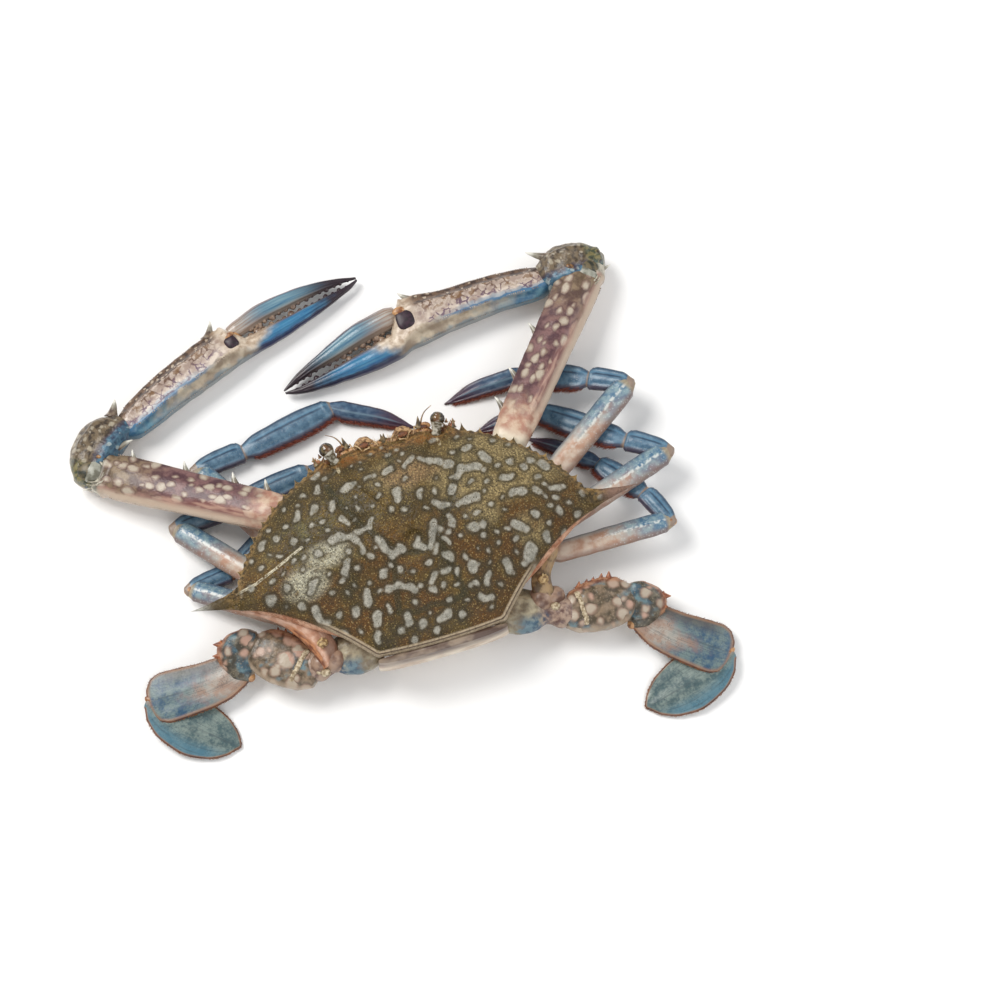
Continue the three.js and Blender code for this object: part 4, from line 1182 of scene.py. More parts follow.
class Sowing:
    """Where small things are rooted, which way they point, and how large each is."""

    def __init__(self):
        self.roots, self.aims, self.leans, self.sizes, self.maps, self.tones = [], [], [], [], [], []

    def add(self, roots, aims, leans, sizes, maps=None, tones=0):
        count = len(roots)
        if sizes.ndim == 1:
            sizes = cols(sizes, sizes, sizes)
        self.roots.append(roots)
        self.aims.append(np.broadcast_to(aims, (count, 3)))
        self.leans.append(np.broadcast_to(leans, (count, 3)))
        self.sizes.append(sizes)
        self.maps.append(np.zeros((count, 2)) if maps is None else maps)
        self.tones.append(np.broadcast_to(tones, count))

    def piece(self, name, template, look, coat=False):
        """All of it as one mesh. A coat also has a map in which each tuft is a small patch."""
        template = TEMPLATES[template]
        roots, aims = np.vstack(self.roots), np.vstack(self.aims)
        points = bpy.data.meshes.new(name + "_roots")
        points.from_pydata((roots * MM).tolist(), [], [])
        attach(points, "turn", turns(aims, np.vstack(self.leans)))
        attach(points, "stretch", np.vstack(self.sizes))
        attach(points, "tone", np.concatenate(self.tones))
        holder = bpy.data.objects.new(name, points)
        bpy.context.scene.collection.objects.link(holder)
        modifier = holder.modifiers.new("sow", "NODES")
        modifier.node_group = SOW
        values = {"Template": template, "Breadth": 1.0, "Length": 1.0, "Finish": finish(look)}
        for socket in SOW.interface.items_tree:
            if socket.in_out == "INPUT" and socket.name in values:
                modifier[socket.identifier] = values[socket.name]
        bpy.context.view_layer.update()
        evaluated = holder.evaluated_get(bpy.context.evaluated_depsgraph_get())
        mesh = bpy.data.meshes.new_from_object(evaluated)
        mesh.name = name
        bpy.data.objects.remove(holder)
        bpy.data.meshes.remove(points)
        count = len(template.data.vertices)
        if coat:
            local = np.zeros(count * 3)
            template.data.vertices.foreach_get("co", local)
            local = local.reshape(-1, 3)
            local = (local - local.min(0)) / np.maximum(np.ptp(local, axis=0), 1e-9) - 0.5
            patch = np.clip(np.vstack(self.maps), 0.004, 0.996)[:, None] + local[None, :, [0, 2]] * 0.003
            corner = np.zeros(len(mesh.loops), np.int32)
            mesh.loops.foreach_get("vertex_index", corner)
            sheet = mesh.uv_layers.new(name="OFBake")
            sheet.data.foreach_set("uv", patch.reshape(-1, 2)[corner].astype(np.float32).ravel())
        spots = np.zeros(len(mesh.vertices) * 3)
        mesh.vertices.foreach_get("co", spots)
        spots = spots.reshape(-1, 3)
        spots[:, 2] = np.maximum(spots[:, 2], 0)
        mesh.vertices.foreach_set("co", spots.ravel())
        mesh.shade_smooth()
        return placed(mesh)


def template(form):
    """A form as a plain object that things are sown from, at 1 mm to a unit of size."""
    return bpy.data.objects.new(form.name, form.mesh())


def tuft_template(name, blades, spread, seed):
    """A few bristles from one root, a millimetre tall, that bend the same way."""
    rng = np.random.default_rng(seed)
    form = Form(name)
    for i in range(blades):
        side = (i - (blades - 1) / 2) / max(1, blades - 1) * 2
        tall = rng.uniform(0.75, 1)
        tip = np.array([rng.uniform(0.1, 0.3), side * spread, tall])
        base = np.array([rng.uniform(-0.04, 0.04), side * 0.09, -0.06])
        form.horn(base, tip, 0.05, bend=(-0.07, 0, 0.03), sides=3, steps=4)
    return form


def bead_template():
    form = Form("bead")
    form.ball((0, 0, 0), (0.5, 0.5, 0.5), turns=4)
    return form


def tooth_template():
    """A rounded tooth a unit wide, standing on its root."""
    form = Form("tooth")
    heights = np.array([-0.5, 0, 0.3, 0.48, 0.56])
    widths = np.array([0.5, 0.5, 0.42, 0.26, 0.1])
    angle = full_turn(8)[None, :]
    rings = cols(
        widths[:, None] * np.cos(angle), widths[:, None] * np.sin(angle), heights[:, None] + 0 * angle,
    )
    form.rings(rings, np.broadcast_to(np.array([0.5, 0, 1]), rings.shape))
    return form


# ---- the shell of the back ----

SHELL = {
    "half": 75.3, "front": 31.6, "rear": -37.6, "middle": -2, "margin": 24.8, "dome": 12, "floor": 14.3,
    "edge": 1.3,
}
BROW_TEETH = [[0.5, 33.3], [9.7, 33.3], [12.4, 35.2]]
BROW_NOTCHES = [[5.2, 30.9], [10.9, 31.9]]
SOCKET = {"x": 18.4, "y": 32.7, "radius": 3.8, "from": 205, "to": 335}
SIDE_EDGE = [[24.4, 28.6], [46, 20.6], [58.4, -1.6]]
FLANK_EDGE = [[60, -9.4], [42, -13.6], [22, -36]]
HUMPS = [[28, -8, 14, 11, 1], [9, 10, 9, 9, 0.7], [0, -18, 9, 8, 0.8], [15, -4, 4, 12, -1]]
# Furrows and low ridges of the back, on the right half: width, depth or height, and the line.
FURROWS = [
    (1.5, 0.55, [(22, 20), (19.5, 12), (15.5, 4.5), (11, -1.5), (8, -5)]),
    (1.2, 0.5, [(0, -9.5), (4.5, -8.6), (8, -5)]),
    (1.4, 0.55, [(8, -5), (8.4, -12), (9.8, -19), (11, -26)]),
    (1.2, 0.25, [(0, -26.5), (5, -27.5), (11, -26)]),
    (1.6, 0.3, [(0, 27), (0, 20)]),
]
CRESTS = [
    (0.6, 0.4, [(60, -4.4), (52.7, -3.7), (44, -0.8), (35.3, 2.6)]),
    (0.9, 0.2, [(2.5, 8.2), (8, 9), (14, 7.2)]),
    (0.8, 0.18, [(1.5, -0.6), (6, 0), (10, -2)]),
]
# The pale blotches of the back: the place, or the two ends, and the half width of each.
BLOTCHES = [
    (-2.7, 19, -0.9, 19.6, 1.3), (-1, 11.6, -1.5, 8.6, 1.6), (21.8, -10.6, 0.9), (25.6, -13.5, 0.9),
    (35.7, -17.2, 34.4, -19.4, 1.9), (32.8, -21, 31.9, -21.5, 0.8), (41.7, -14.8, 1.6),
    (53.7, -10.2, 1.1), (51.7, -0.2, 0.9), (57, -3.9, 1.2), (62.4, -6.5, 1),
    (20, -21.9, 18.7, -24.4, 0.9), (15.5, -28.2, 18.8, -29.3, 1.1), (18, -32.1, 0.7), (5.5, -26.8, 1.1),
    (8.5, -31.6, 1.2), (3.9, -30.4, 1.8, -31.5, 1.5), (-0.9, -34.2, 1.4), (-4.6, -31.5, 1.5),
    (-8.8, -28.2, -8.9, -29.4, 1.5), (-8.5, -35, 1.2), (-12, -31.5, 1.2), (-5.1, -24.6, 0.9),
    (-13.8, -23.6, -13.9, -24.7, 0.9), (-19.3, -17.6, -19.8, -20.4, 1.5),
    (-24.1, -21.4, -24.2, -22.5, 1.2), (-18, -24.8, -18.6, -27.4, 1.4), (-19.7, -30.8, -20, -32.2, 1.1),
    (-29.8, -21.1, 1.2), (-36.6, -17, -36.1, -19.6, 1.2), (-35.9, -20.6, -33.5, -21.9, 0.9),
    (-40.5, -15, 1.3), (-49.4, -10.1, 1.9), (-54.4, -4.3, 1.1), (-43.1, -8.4, 1.2),
    (-34.3, -9.3, -36.2, -11.6, 1.1), (-21.9, 14.1, -22.2, 12.6, 1.2), (-17.1, 17.2, -13.9, 18.2, 1.2),
    (-28.4, 13.2, -27.5, 14.7, 1.3), (-33.6, 14.7, -34.4, 12.6, 1), (-38.3, 11.8, 1.2), (-37.3, 5.7, 1.1),
    (-42.3, 8.7, 1.3), (-47, 9.2, -48, 7.5, 1.3), (-52, 4.6, 0.9), (-24.9, 21.7, -25.6, 19.8, 1.2),
    (-37.8, 18.2, 0.9), (-29.7, -13.9, 0.8), (-30.7, -25.7, -28.9, -26.7, 0.7), (-24.5, -27.6, 0.9),
    (26.8, -20.1, 26.8, -22, 1.3), (28.2, -23.3, 0.8), (23, -25.9, 0.8), (35.4, -22.9, 0.8),
    (-9.6, 18.5, -6.3, 19.2, 0.7), (-22, 23.7, 0.8), (-1.2, 28.9, 0.9), (-0.3, 25.5, 0.1, 25.5, 0.9),
    (2.9, 26.3, 0.8), (-5.4, 27.6, 0.8), (-24, 26.4, -25, 25.6, 1.2), (-16.8, 2, -12.8, 2.5, 0.9),
    (-12.8, 2.5, -11.5, 4.6, 0.9), (-11.1, -2.5, -9.7, -5.6, 1.25), (-9.7, -5.6, -8, -8.8, 0.9),
    (-8, -8.8, -4.6, -6.9, 0.9), (-4.5, -6.7, -4.5, -7.4, 1.3), (-9.4, -11.4, 1), (-6.7, -13.4, 1.15),
    (-17, -2.1, -16.4, -5, 0.8), (-12.7, -4.7, 0.75), (-14.8, -6.9, 1), (-12.3, -12.7, -12.7, -13.8, 1.3),
    (-20.2, 7.7, -18.7, 5.6, 0.9), (-25.4, 1.3, -23, 2.2, 1.3), (-23, 2.2, -19.4, 1.2, 1),
    (-19.4, 1.2, -17.9, -1.1, 1), (-21.3, -3.7, 1.05), (-22.7, -6.7, -24.3, -10, 1.1), (-20, -9.2, 0.95),
    (-17.4, -15, 0.8), (-22.3, -13.9, 0.65), (-12.7, -18.4, -8.7, -17.8, 1),
    (-8.7, -17.8, -4.4, -20.8, 1.2), (7.5, -2.3, 6.2, -5.1, 1.35), (6.2, -5.1, 4.3, -9, 1),
    (1.5, -5.5, 0.4, -7.6, 0.9), (0.4, -7.6, 2.3, -8.6, 1.1), (2.5, -13.5, 1.35),
    (6.5, -9.6, 5.4, -11.5, 0.8), (8.3, -12.5, 9.9, -14.4, 1.15), (9.3, -4.8, 0.8), (11.3, -6.4, 0.85),
    (9.3, -7.6, 10.6, -9.6, 0.75), (13.2, -2.3, 12.8, -4.1, 0.95), (14.7, -8.5, 0.85), (19.6, -7.2, 1.7),
    (14.2, -15.1, 0.95), (10.9, -18.3, 10.3, -19.8, 0.7), (15.3, -17.7, 15.9, -19.7, 1.4),
    (16.4, -18, 17.7, -18.5, 0.7), (5.8, -17.8, 8.2, -17.6, 0.9), (3.4, -18.2, 1.5, -19.9, 1),
    (5.1, -21.6, 1), (13.3, -24.4, 0.9), (15.3, -24.2, 1), (0.6, -22.4, 2, -22.6, 1), (-14.9, -17.8, 0.7),
    (3.6, 18.9, 6.8, 21.5, 0.9), (9.3, 20.3, 12.3, 18.8, 0.9), (12.3, 18.8, 15, 17.6, 1.4),
    (17.6, 15.8, 1.75), (19.1, 11, 21.4, 13.5, 1.1), (21.4, 13.5, 26.8, 12.8, 1.3),
    (28.9, 17, 30.5, 14.3, 1.2), (37.3, 12, 1.3), (41, 9.2, 1.3), (44.2, 11.4, 1.5),
    (47.5, 9.3, 48, 8, 1.7), (33.5, 6.8, 35.7, 6.7, 1.3), (44.3, 4.5, 1.1), (16.9, 8, 15.9, 6.2, 1.1),
    (6.3, 9, 5.6, 7.1, 1.2), (9.8, 4.1, 11.1, 2.8, 1.15), (11.1, 2.8, 14, 2.3, 0.9),
    (16.9, 1.6, 19.2, 2, 1.1), (19.2, 2, 23.2, 2.5, 1.4), (34.5, 0.8, 38.7, 0.7, 1.3), (27.1, -1.6, 0.95),
    (30.5, -4.2, 0.75), (21.7, -2.9, 1.1), (13.1, -1.8, 12.9, -4.1, 0.9), (19.4, -7, 1.65),
    (22.8, -7.1, 1.45), (32.4, -9.1, 35.8, -11.7, 1.25), (40.1, -7.7, 1.5), (42.5, 0.3, 43.3, -0.7, 1.2),
    (46, 1.7, 1.1), (47.5, 0, 49.6, -0.7, 1.1), (48, -4, 1.1), (45, -2.5, 0.9), (45.4, -6, 1),
    (43.8, -11, 0.95), (47.8, -8.2, 1.2), (28.5, 10.9, 0.9), (32.7, 11.3, 0.9), (18.1, -2.7, 0.75),
    (4.5, 24.3, 0.8), (24.2, 20.2, 25.7, 20.4, 1.2), (20.2, 20, 0.9),
]


def bezier(points, t):
    a, b, c = (np.array(p, float) for p in points)
    t = np.asarray(t, float)[..., None]
    return (1 - t) ** 2 * a + 2 * t * (1 - t) * b + t * t * c


def half_outline():
    """The right half of the shell's edge, front to rear: outer places, and the places on the
    smooth edge that the teeth grow from."""
    tips, roots = [], []

    def run(tip, root, bow=0, steps=7):
        """On to the next corner, the edge bowed out by that much."""
        a, r = tips[-1], roots[-1]
        tip, root = np.array(tip, float), np.array(root, float)
        along = tip - a
        out = np.array([-along[1], along[0]]) / (np.linalg.norm(along) + 1e-9)
        for u in np.linspace(0, 1, steps + 1)[1:]:
            tips.append(a + along * u + out * bow * 4 * u * (1 - u))
            roots.append(r + (root - r) * u)

    tips.append(np.array([0, SHELL["front"] - 0.2]))
    roots.append(np.array([0, SHELL["front"] - 0.4]))
    for i, (x, y) in enumerate(BROW_TEETH):
        run((x, y), (x, SHELL["front"]), -0.12)
        if i < 2:
            notch = BROW_NOTCHES[i]
            run(notch, notch, -0.12)
    arc = np.radians(np.linspace(SOCKET["from"], SOCKET["to"], 18))
    rim = [
        (SOCKET["x"] + SOCKET["radius"] * math.cos(a), SOCKET["y"] + SOCKET["radius"] * math.sin(a))
        for a in arc
    ]
    run(rim[0], rim[0], -0.1)
    for spot in rim[1:]:
        run(spot, spot, steps=1)
    for k in range(8):
        size = (3.2, 2.1, 1.7, 2.2, 1.6, 2, 1.5, 1.9)[k]
        turn = math.radians(88 - 60 * k / 8)
        aim = np.array([math.cos(turn), math.sin(turn)])
        heel, root, toe, bump, notch = bezier(SIDE_EDGE, (k + np.array([0.07, 0.3, 0.56, 0.76, 1])) / 8)
        run(heel, heel, 0.05, 2)
        run(root + size * aim, root, -0.25, 7)
        run(toe, toe, -0.28, 6)
        run(bump + (0.5 + 0.12 * (k % 3)) * aim, bump, 0.05, 3)
        run(notch, notch, 0.05, 3)
    run((66, -4.1), (59.2, -3.4), -0.3, 9)
    run((SHELL["half"], -5.3), (59.2, -5.4), -0.1, 14)
    run((66, -7.5), (59.2, -7.4), -0.1, 14)
    start = bezier(FLANK_EDGE, 0)
    run(start, start, -0.2, 8)
    for t in np.linspace(0, 1, 56)[1:]:
        spot = bezier(FLANK_EDGE, t)
        run(spot, spot, steps=1)
    for x in np.linspace(22, 0, 24)[1:]:
        spot = (x, SHELL["rear"] + 1.1 * (x / 22) ** 2)
        run(spot, spot, steps=1)
    return np.array(tips), np.array(roots)


def outline():
    """The whole edge of the shell, as half_outline gives its right half."""
    tips, roots = half_outline()
    flip = np.array([-1, 1])
    return np.vstack([tips, tips[-2:0:-1] * flip]), np.vstack([roots, roots[-2:0:-1] * flip])


def rim_height(y):
    """How high the edge of the shell lies, from the brow to the rear."""
    return SHELL["margin"] + 0.6 * smooth(y, 20, 33) - 2 * smooth(-y, 14, 37)


def line_gap(x, y, line):
    """The distance in plan from every place to a line of straight stretches."""
    best = np.full(np.shape(x), 1e9)
    for (ax, ay), (bx, by) in zip(line[:-1], line[1:]):
        dx, dy = bx - ax, by - ay
        t = np.clip(((x - ax) * dx + (y - ay) * dy) / max(dx * dx + dy * dy, 1e-9), 0, 1)
        best = np.minimum(best, np.hypot(x - ax - dx * t, y - ay - dy * t))
    return best


def back_height(x, y, edge_y, share):
    """The height of the back, and how deep in a furrow each place lies."""
    side = np.abs(x)
    height = rim_height(edge_y) + SHELL["dome"] * np.maximum(1 - share**2.4, 0) ** 0.8
    fade = 1 - share**4
    for cx, cy, rx, ry, rise in HUMPS:
        height = height + fade * rise * np.exp(-(((side - cx) / rx) ** 2) - ((y - cy) / ry) ** 2)
    crease = np.zeros_like(height)
    for width, depth, line in FURROWS:
        here = np.exp(-((line_gap(side, y, line) / width) ** 2))
        height = height - depth * here
        crease = np.maximum(crease, here)
    for width, rise, line in CRESTS:
        here = np.exp(-((line_gap(side, y, line) / width) ** 2))
        height = height + rise * here
        crease = crease - here * (line is CRESTS[0][2])
    height = height + 0.4 * smooth(-edge_y, 9, 20) * np.exp(-(((share - 0.985) / 0.013) ** 2))
    height = height - 0.3 * smooth(-edge_y, 9, 20) * np.exp(-(((share - 0.952) / 0.014) ** 2))
    spots = cols(x, y, 0)
    height = height + 0.16 * swell(spots, 9, 3) * fade + 0.05 * swell(spots, 2.6, 4) * fade
    return height, crease


def underside_share(roots):
    """How far out the underside of the shell ends, as a share of its edge."""
    x, y = roots[:, 0], roots[:, 1]
    flank = smooth(-y, 4, 16)
    front = smooth(y, 18, 32) * np.where(np.abs(x) < 26, 1, 0.5)
    inner = 0.56 + 0.16 * front
    return inner + (0.93 - inner) * flank


# How sharply two blotches that touch keep the dent between them.
BLOTCH_DENT = 3.2


def blotch_gap(x, y):
    """The distance to the nearest pale blotch, less than nothing inside one."""
    rng = np.random.default_rng(14)
    marks = [m if len(m) == 5 else (*m[:2], *m) for m in BLOTCHES]
    for _ in range(420):
        turn, far = rng.uniform(0, 2 * math.pi), rng.uniform(0.05, 0.95) ** 0.55
        cx, cy, size = 60 * far * math.cos(turn), -2 + 31 * far * math.sin(turn), rng.uniform(0.35, 0.9)
        if all(
            math.hypot(cx - (m[0] + m[2]) / 2, cy - (m[1] + m[3]) / 2) > 1.5 + size + 1.2 * m[4]
            for m in marks
        ):
            marks.append((cx, cy, cx + rng.uniform(-0.7, 0.7), cy + rng.uniform(-0.6, 0.6), size))
    joined = np.full(np.shape(x), 1e-9)
    spots = cols(x, y, 0)
    x, y = x + 0.4 * swell(spots, 4, 31), y + 0.4 * swell(spots, 4, 32)
    for ax, ay, bx, by, radius in marks:
        gap = line_gap(x, y, [(ax, ay), (bx + 1e-4, by)]) - radius * 0.98
        joined += np.exp(-BLOTCH_DENT * gap)
    return -np.log(joined) / BLOTCH_DENT


def carapace():
    """The shell of the back: rings out to the smooth edge, over the teeth and in below."""
    tips, roots = outline()
    centre = np.array([0, SHELL["middle"]])
    rings, lies = [], []

    def place(share):
        return centre + (roots - centre) * share

    def note(x, y, z, first, second, third):
        rings.append(cols(x, y, z))
        lies.append(cols(first + 0 * x, second, third))

    for share in np.concatenate([np.linspace(0.015, 0.9, 84), np.linspace(0.908, 1, 16)]):
        x, y = place(share).T
        z, crease = back_height(x, y, roots[:, 1], share)
        note(x, y, z, share, crease, 0)
    edge_z, half = rim_height(roots[:, 1]), SHELL["edge"] / 2

    def tooth(reach, side):
        """One ring between the smooth edge and the points of the teeth, above or below."""
        x, y = (roots + (tips - roots) * reach).T
        thick = half * (1 - 0.55 * reach)
        wide = np.where(
            np.abs(x) < 66, 2 - 0.045 * (np.abs(x) - 59), 1.7 * (SHELL["half"] - np.abs(x)) / 9.3,
        )
        lean = -5.4 - 0.03 * (np.abs(x) - 59)
        off = np.clip(np.abs(y - lean) / np.maximum(wide, 0.2), 0, 1)
        cone = np.maximum(wide, 0.15) * np.sqrt(1 - off**2)
        spine = smooth(np.abs(x), 58, 63) * (np.abs(y + 5.4) < 3.4)
        thick = thick * (1 - spine) + spine * np.maximum(cone, 0.06)
        if reach == 1:
            thick = thick * 0.5
        note(x, y, edge_z - half + side * thick, 1 + reach, 0, 0 if side > 0 else 0.02)

    for reach in (0.12, 0.26, 0.4, 0.55, 0.7, 0.82, 0.92, 1):
        tooth(reach, 1)
    for reach in (1, 0.9, 0.75, 0.55, 0.35, 0.15):
        tooth(reach, -1)
    inner = underside_share(roots)
    for t in np.linspace(0, 1, 16):
        share = 0.985 + (inner - 0.985) * t ** (0.8 + 0.5 * smooth(-roots[:, 1], 4, 14))
        bulge = math.sin(math.pi * t**0.7) * smooth(-roots[:, 1], 8, 11)
        share = share + 0.06 * bulge * smooth(np.abs(roots[:, 0]), 26, 40)
        x, y = place(share[:, None]).T
        z = (rim_height(roots[:, 1]) - SHELL["edge"]) * (1 - t) + SHELL["floor"] * t
        flank = smooth(-roots[:, 1], 4, 12)
        pleat = 0.35 * np.sin(t * 22) * flank * between(t, 0.3, 0.95, 0.1)
        note(x, y, z - 0.8 * np.sin(math.pi * t) * (1 - flank) + pleat, 2, 0, 0.06 + 0.94 * t)
    form = Form("carapace_shell")
    form.rings(rings, lies)
    points = np.vstack(form.points)
    marks = blotch_gap(points[:, 0], points[:, 1])
    form.piece("granular_shell", "carapace", "carapace_shell", {"marks": marks})


# ---- under the shell ----

BREAST = {
    "half": 31, "reach": 28.5, "middle": -8, "top": 14, "furrows": (-26, -14.5, -4, 5.5, 14),
}
# The tail lies under the breast, curls up behind it and climbs to the rear rim of the shell:
# the length of each stretch, then places, heights and half widths.
TAIL = {
    "under": 36.5, "curl": 17.6, "climb": 15.9, "front": 9, "turn": -27.5, "radius": 11,
    "lift": 1.15, "heel": 12.35, "top": 22.6, "narrow": 9.5, "broad": 22, "thick": 1.25,
    "seams": (7, 14, 22, 31, 41, 50, 59),
}
MOUTH = {"top": [5.2, 29.5, 18], "tip": [6.4, 15.5, 3.4]}


def breastplate():
    """The breast: a broad plate with furrows between the plates of the limbs."""
    form = Form("thorax_plate")
    c, s = section(full_turn(120), 2.8)
    x, y = BREAST["half"] * c, BREAST["reach"] * s
    middle, top = BREAST["middle"], BREAST["top"]
    furrow = sum(np.exp(-(((middle + y - place) / 1.3) ** 2)) for place in BREAST["furrows"])
    rings, lies = [], []
    rows = [[0, 0.8], [3.5, 0.95], [top, 1]]
    for share in (0, 0.2, 0.4, 0.55, 0.66, 0.74, 0.785):
        rings.append(cols(x * share, middle + y * share, 0))
        lies.append(cols(share, c, -1))
    for z in np.linspace(0.15, top, 34):
        share = eased(rows, z)[0, 0] - 0.035 * furrow * smooth(z, 0, 3)
        rings.append(cols(x * share, middle + y * share, z))
        lies.append(cols(z / top, c, -0.5))
    form.rings(rings, lies)
    form.piece("pale_plate", "thorax", "pale_underside")


def tail_flap():
    """The folded tail: flush under the breast, then up behind the body to the rear rim."""
    form = Form("tail_plates")
    narrow, broad, radius = TAIL["narrow"], TAIL["broad"], TAIL["radius"]
    widths = [[0, 0.7], [0.1, 2.2], [0.2, 2.8], [0.62, 4.8], [1, narrow]]
    curl_from, climb_from = TAIL["under"], TAIL["under"] + TAIL["curl"]
    c, s = section(full_turn(64), 3.2)
    rings, lies = [], []
    for t in np.linspace(0, 1, 100):
        walk = t * (climb_from + TAIL["climb"])
        if walk < curl_from:
            slope = 0
            y, z = TAIL["front"] - walk, TAIL["lift"]
            wide = eased(widths, walk / curl_from)[0, 0]
        elif walk < climb_from:
            share = (walk - curl_from) / TAIL["curl"]
            slope = share * math.pi / 2
            y = TAIL["turn"] - radius * math.sin(slope)
            z = TAIL["lift"] + radius * (1 - math.cos(slope))
            wide = narrow + (broad - narrow) * share
        else:
            share = (walk - climb_from) / TAIL["climb"]
            slope = math.pi / 2
            y = TAIL["turn"] - radius + 0.5 * share
            z = TAIL["heel"] + (TAIL["top"] - TAIL["heel"]) * share
            wide = broad - 0.4 * share
        seam = sum(math.exp(-(((walk - place) / 0.5) ** 2)) for place in TAIL["seams"])
        thick = TAIL["thick"] * (1 - 0.28 * seam)
        bow = -0.66 * (1 - (np.abs(wide * c) / broad) ** 2) * smooth(walk, 44, 60)
        x = wide * (1 - 0.02 * seam) * c
        up = thick * s
        rings.append(cols(x, y + up * math.sin(slope) + bow, z + up * math.cos(slope)))
        lies.append(cols(t, c, s))
    form.rings(rings, lies)
    form.piece("tail_plate", "abdomen", "pale_underside")


def mouth_bone(side):
    """The line the outer mouth leg hangs along."""
    return Bone(np.array(MOUTH["top"]) * FLIPS[side], np.array(MOUTH["tip"]) * FLIPS[side], SIDES[side])


def mouth_plate(side):
    """The outer mouth leg: two hinged plates with a groove down them and a short feeler."""
    mirror, bone = SIDES[side], mouth_bone(side)
    bone.fore = np.array([mirror, 0, 0])
    bone.up = unit(np.cross(bone.along, bone.fore) * mirror)
    if bone.up[1] < 0:
        bone.up = -bone.up
    form = Form(f"maxilliped_{side}_plate")
    grooves = carving((0.1, 0.9), [(72, 12, -0.45)], [(0.42, 0.02, -0.5), (0.46, 0.02, 0.2)])
    rows = [[0, 3, 1.5], [0.14, 4.5, 1.5], [0.8, 4.4, 1.5], [1, 3, 1.5]]
    rings, lies = limb_rings(
        bone, rows, 2.8, sides=40, steps=50, carve=grooves, caps=(0.8, 0.8), uneven=0.06,
    )
    form.rings(rings, lies)
    palp = [
        bone.at(0.06, -1.5, 1.4), bone.at(-0.03, -3.4, 2.2), bone.at(0.1, -4.2, 2.4),
        bone.at(0.26, -3.6, 2),
    ]
    for a, b in zip(palp[:-1], palp[1:]):
        form.ball((a + b) / 2, (0.85, 0.85, float(np.linalg.norm(b - a)) * 0.62), basis(b - a))
    form.piece("mouth_plate", f"maxilliped_{side}", "pale_underside")


def basis(direction):
    """Three square directions whose last is the one given."""
    z = unit(direction)
    helper = np.array([1, 0, 0]) if abs(z[2]) > 0.9 else np.array([0, 0, 1])
    x = unit(np.cross(helper, z))
    return np.array([x, np.cross(z, x), z])


# ---- the head ----

EYE = {"base": [17, 29, 24.8], "tip": [19.6, 35.2, 28.9], "radius": 2.25}
FEELER = [[12.4, 30.6, 20.8], [12.9, 33, 23.2], [13.8, 35.2, 25.8], [15.4, 36.8, 28.2], [18, 37.8, 29.8]]


def eyes(side):
    """An eye on its stalk."""
    mirror = SIDES[side]
    flip = FLIPS[side]
    bone = Bone(np.array(EYE["base"]) * flip, np.array(EYE["tip"]) * flip, mirror)
    r = EYE["radius"]
    stalk = [
        [0, 0.76 * r, 0.7 * r], [0.3, 0.7 * r, 0.64 * r], [0.5, 0.86 * r, 0.8 * r],
        [0.62, 0.99 * r, 0.93 * r], [0.74, 0.9 * r, 0.86 * r],
    ]
    form = Form(f"eye_{side}_stalk")

    def lobe(share, angle):
        return ridge(angle, 90, 35, 0.22) * smooth(share, 0.35, 0.6) + lip(share, 0.2, 0.03, -0.12)

    rings, lies = limb_rings(bone, stalk, 2, sides=36, steps=30, carve=lobe, caps=(0.3, 0.5), uneven=0.08)
    form.rings(rings, lies)
    form.piece("eye_stalk", f"eye_{side}", "eye")
    form = Form(f"eye_{side}_cornea")
    bulb = [
        [0.56, 0.9 * r, 0.82 * r], [0.63, 1.03 * r, 1 * r], [0.74, 1.08 * r, 1.06 * r],
        [0.85, 0.96 * r, 0.95 * r], [0.93, 0.7 * r, 0.7 * r],
    ]

    def notch(share, angle):
        """The dent in the top of the eye, where it meets the stalk."""
        return ridge(angle, 90, math.degrees(0.5), -0.5) * (1 - smooth(share, 0.56, 0.68))

    rings, lies = limb_rings(bone, bulb, 2, sides=44, steps=30, carve=notch, caps=(0.2, 0.62), uneven=0)
    form.rings(rings, lies)
    form.piece("eye_shell", slot="eye")


def curve_through(points, count):
    """A smooth path through points, and its directions."""
    points = np.asarray(points, float)
    path = np.vstack([2 * points[0] - points[1], points, 2 * points[-1] - points[-2]])
    spots = []
    for t in np.linspace(0, len(points) - 1 - 1e-6, count):
        k, u = int(t), t - int(t)
        a, b, c, d = path[k:k + 4]
        spots.append(
            0.5 * (
                2 * b + (c - a) * u + (2 * a - 5 * b + 4 * c - d) * u**2 + (3 * b - a - 3 * c + d) * u**3
            )
        )
    spots = np.array(spots)
    return spots, unit(np.gradient(spots, axis=0))


def feeler_tube(form, points, sizes, count=90, sides=12, joints=40, ring=0.12):
    """A jointed thread whose thickness is read along it."""
    spots, along = curve_through(points, count)
    across = unit(np.cross((0.05, 0.1, 1), along))
    up = np.cross(along, across)
    t = np.linspace(0, 1, count)
    size = np.interp(t, *zip(*sizes)) * (1 + ring * np.abs(np.sin(t * math.pi * joints)))
    angle = full_turn(sides)[None, :, None]
    rings = spots[:, None] + size[:, None, None] * (
        across[:, None] * np.cos(angle) + up[:, None] * np.sin(angle)
    )
    lies = np.broadcast_to(cols(t, 0, 1)[:, None], rings.shape)
    form.rings(rings, lies)


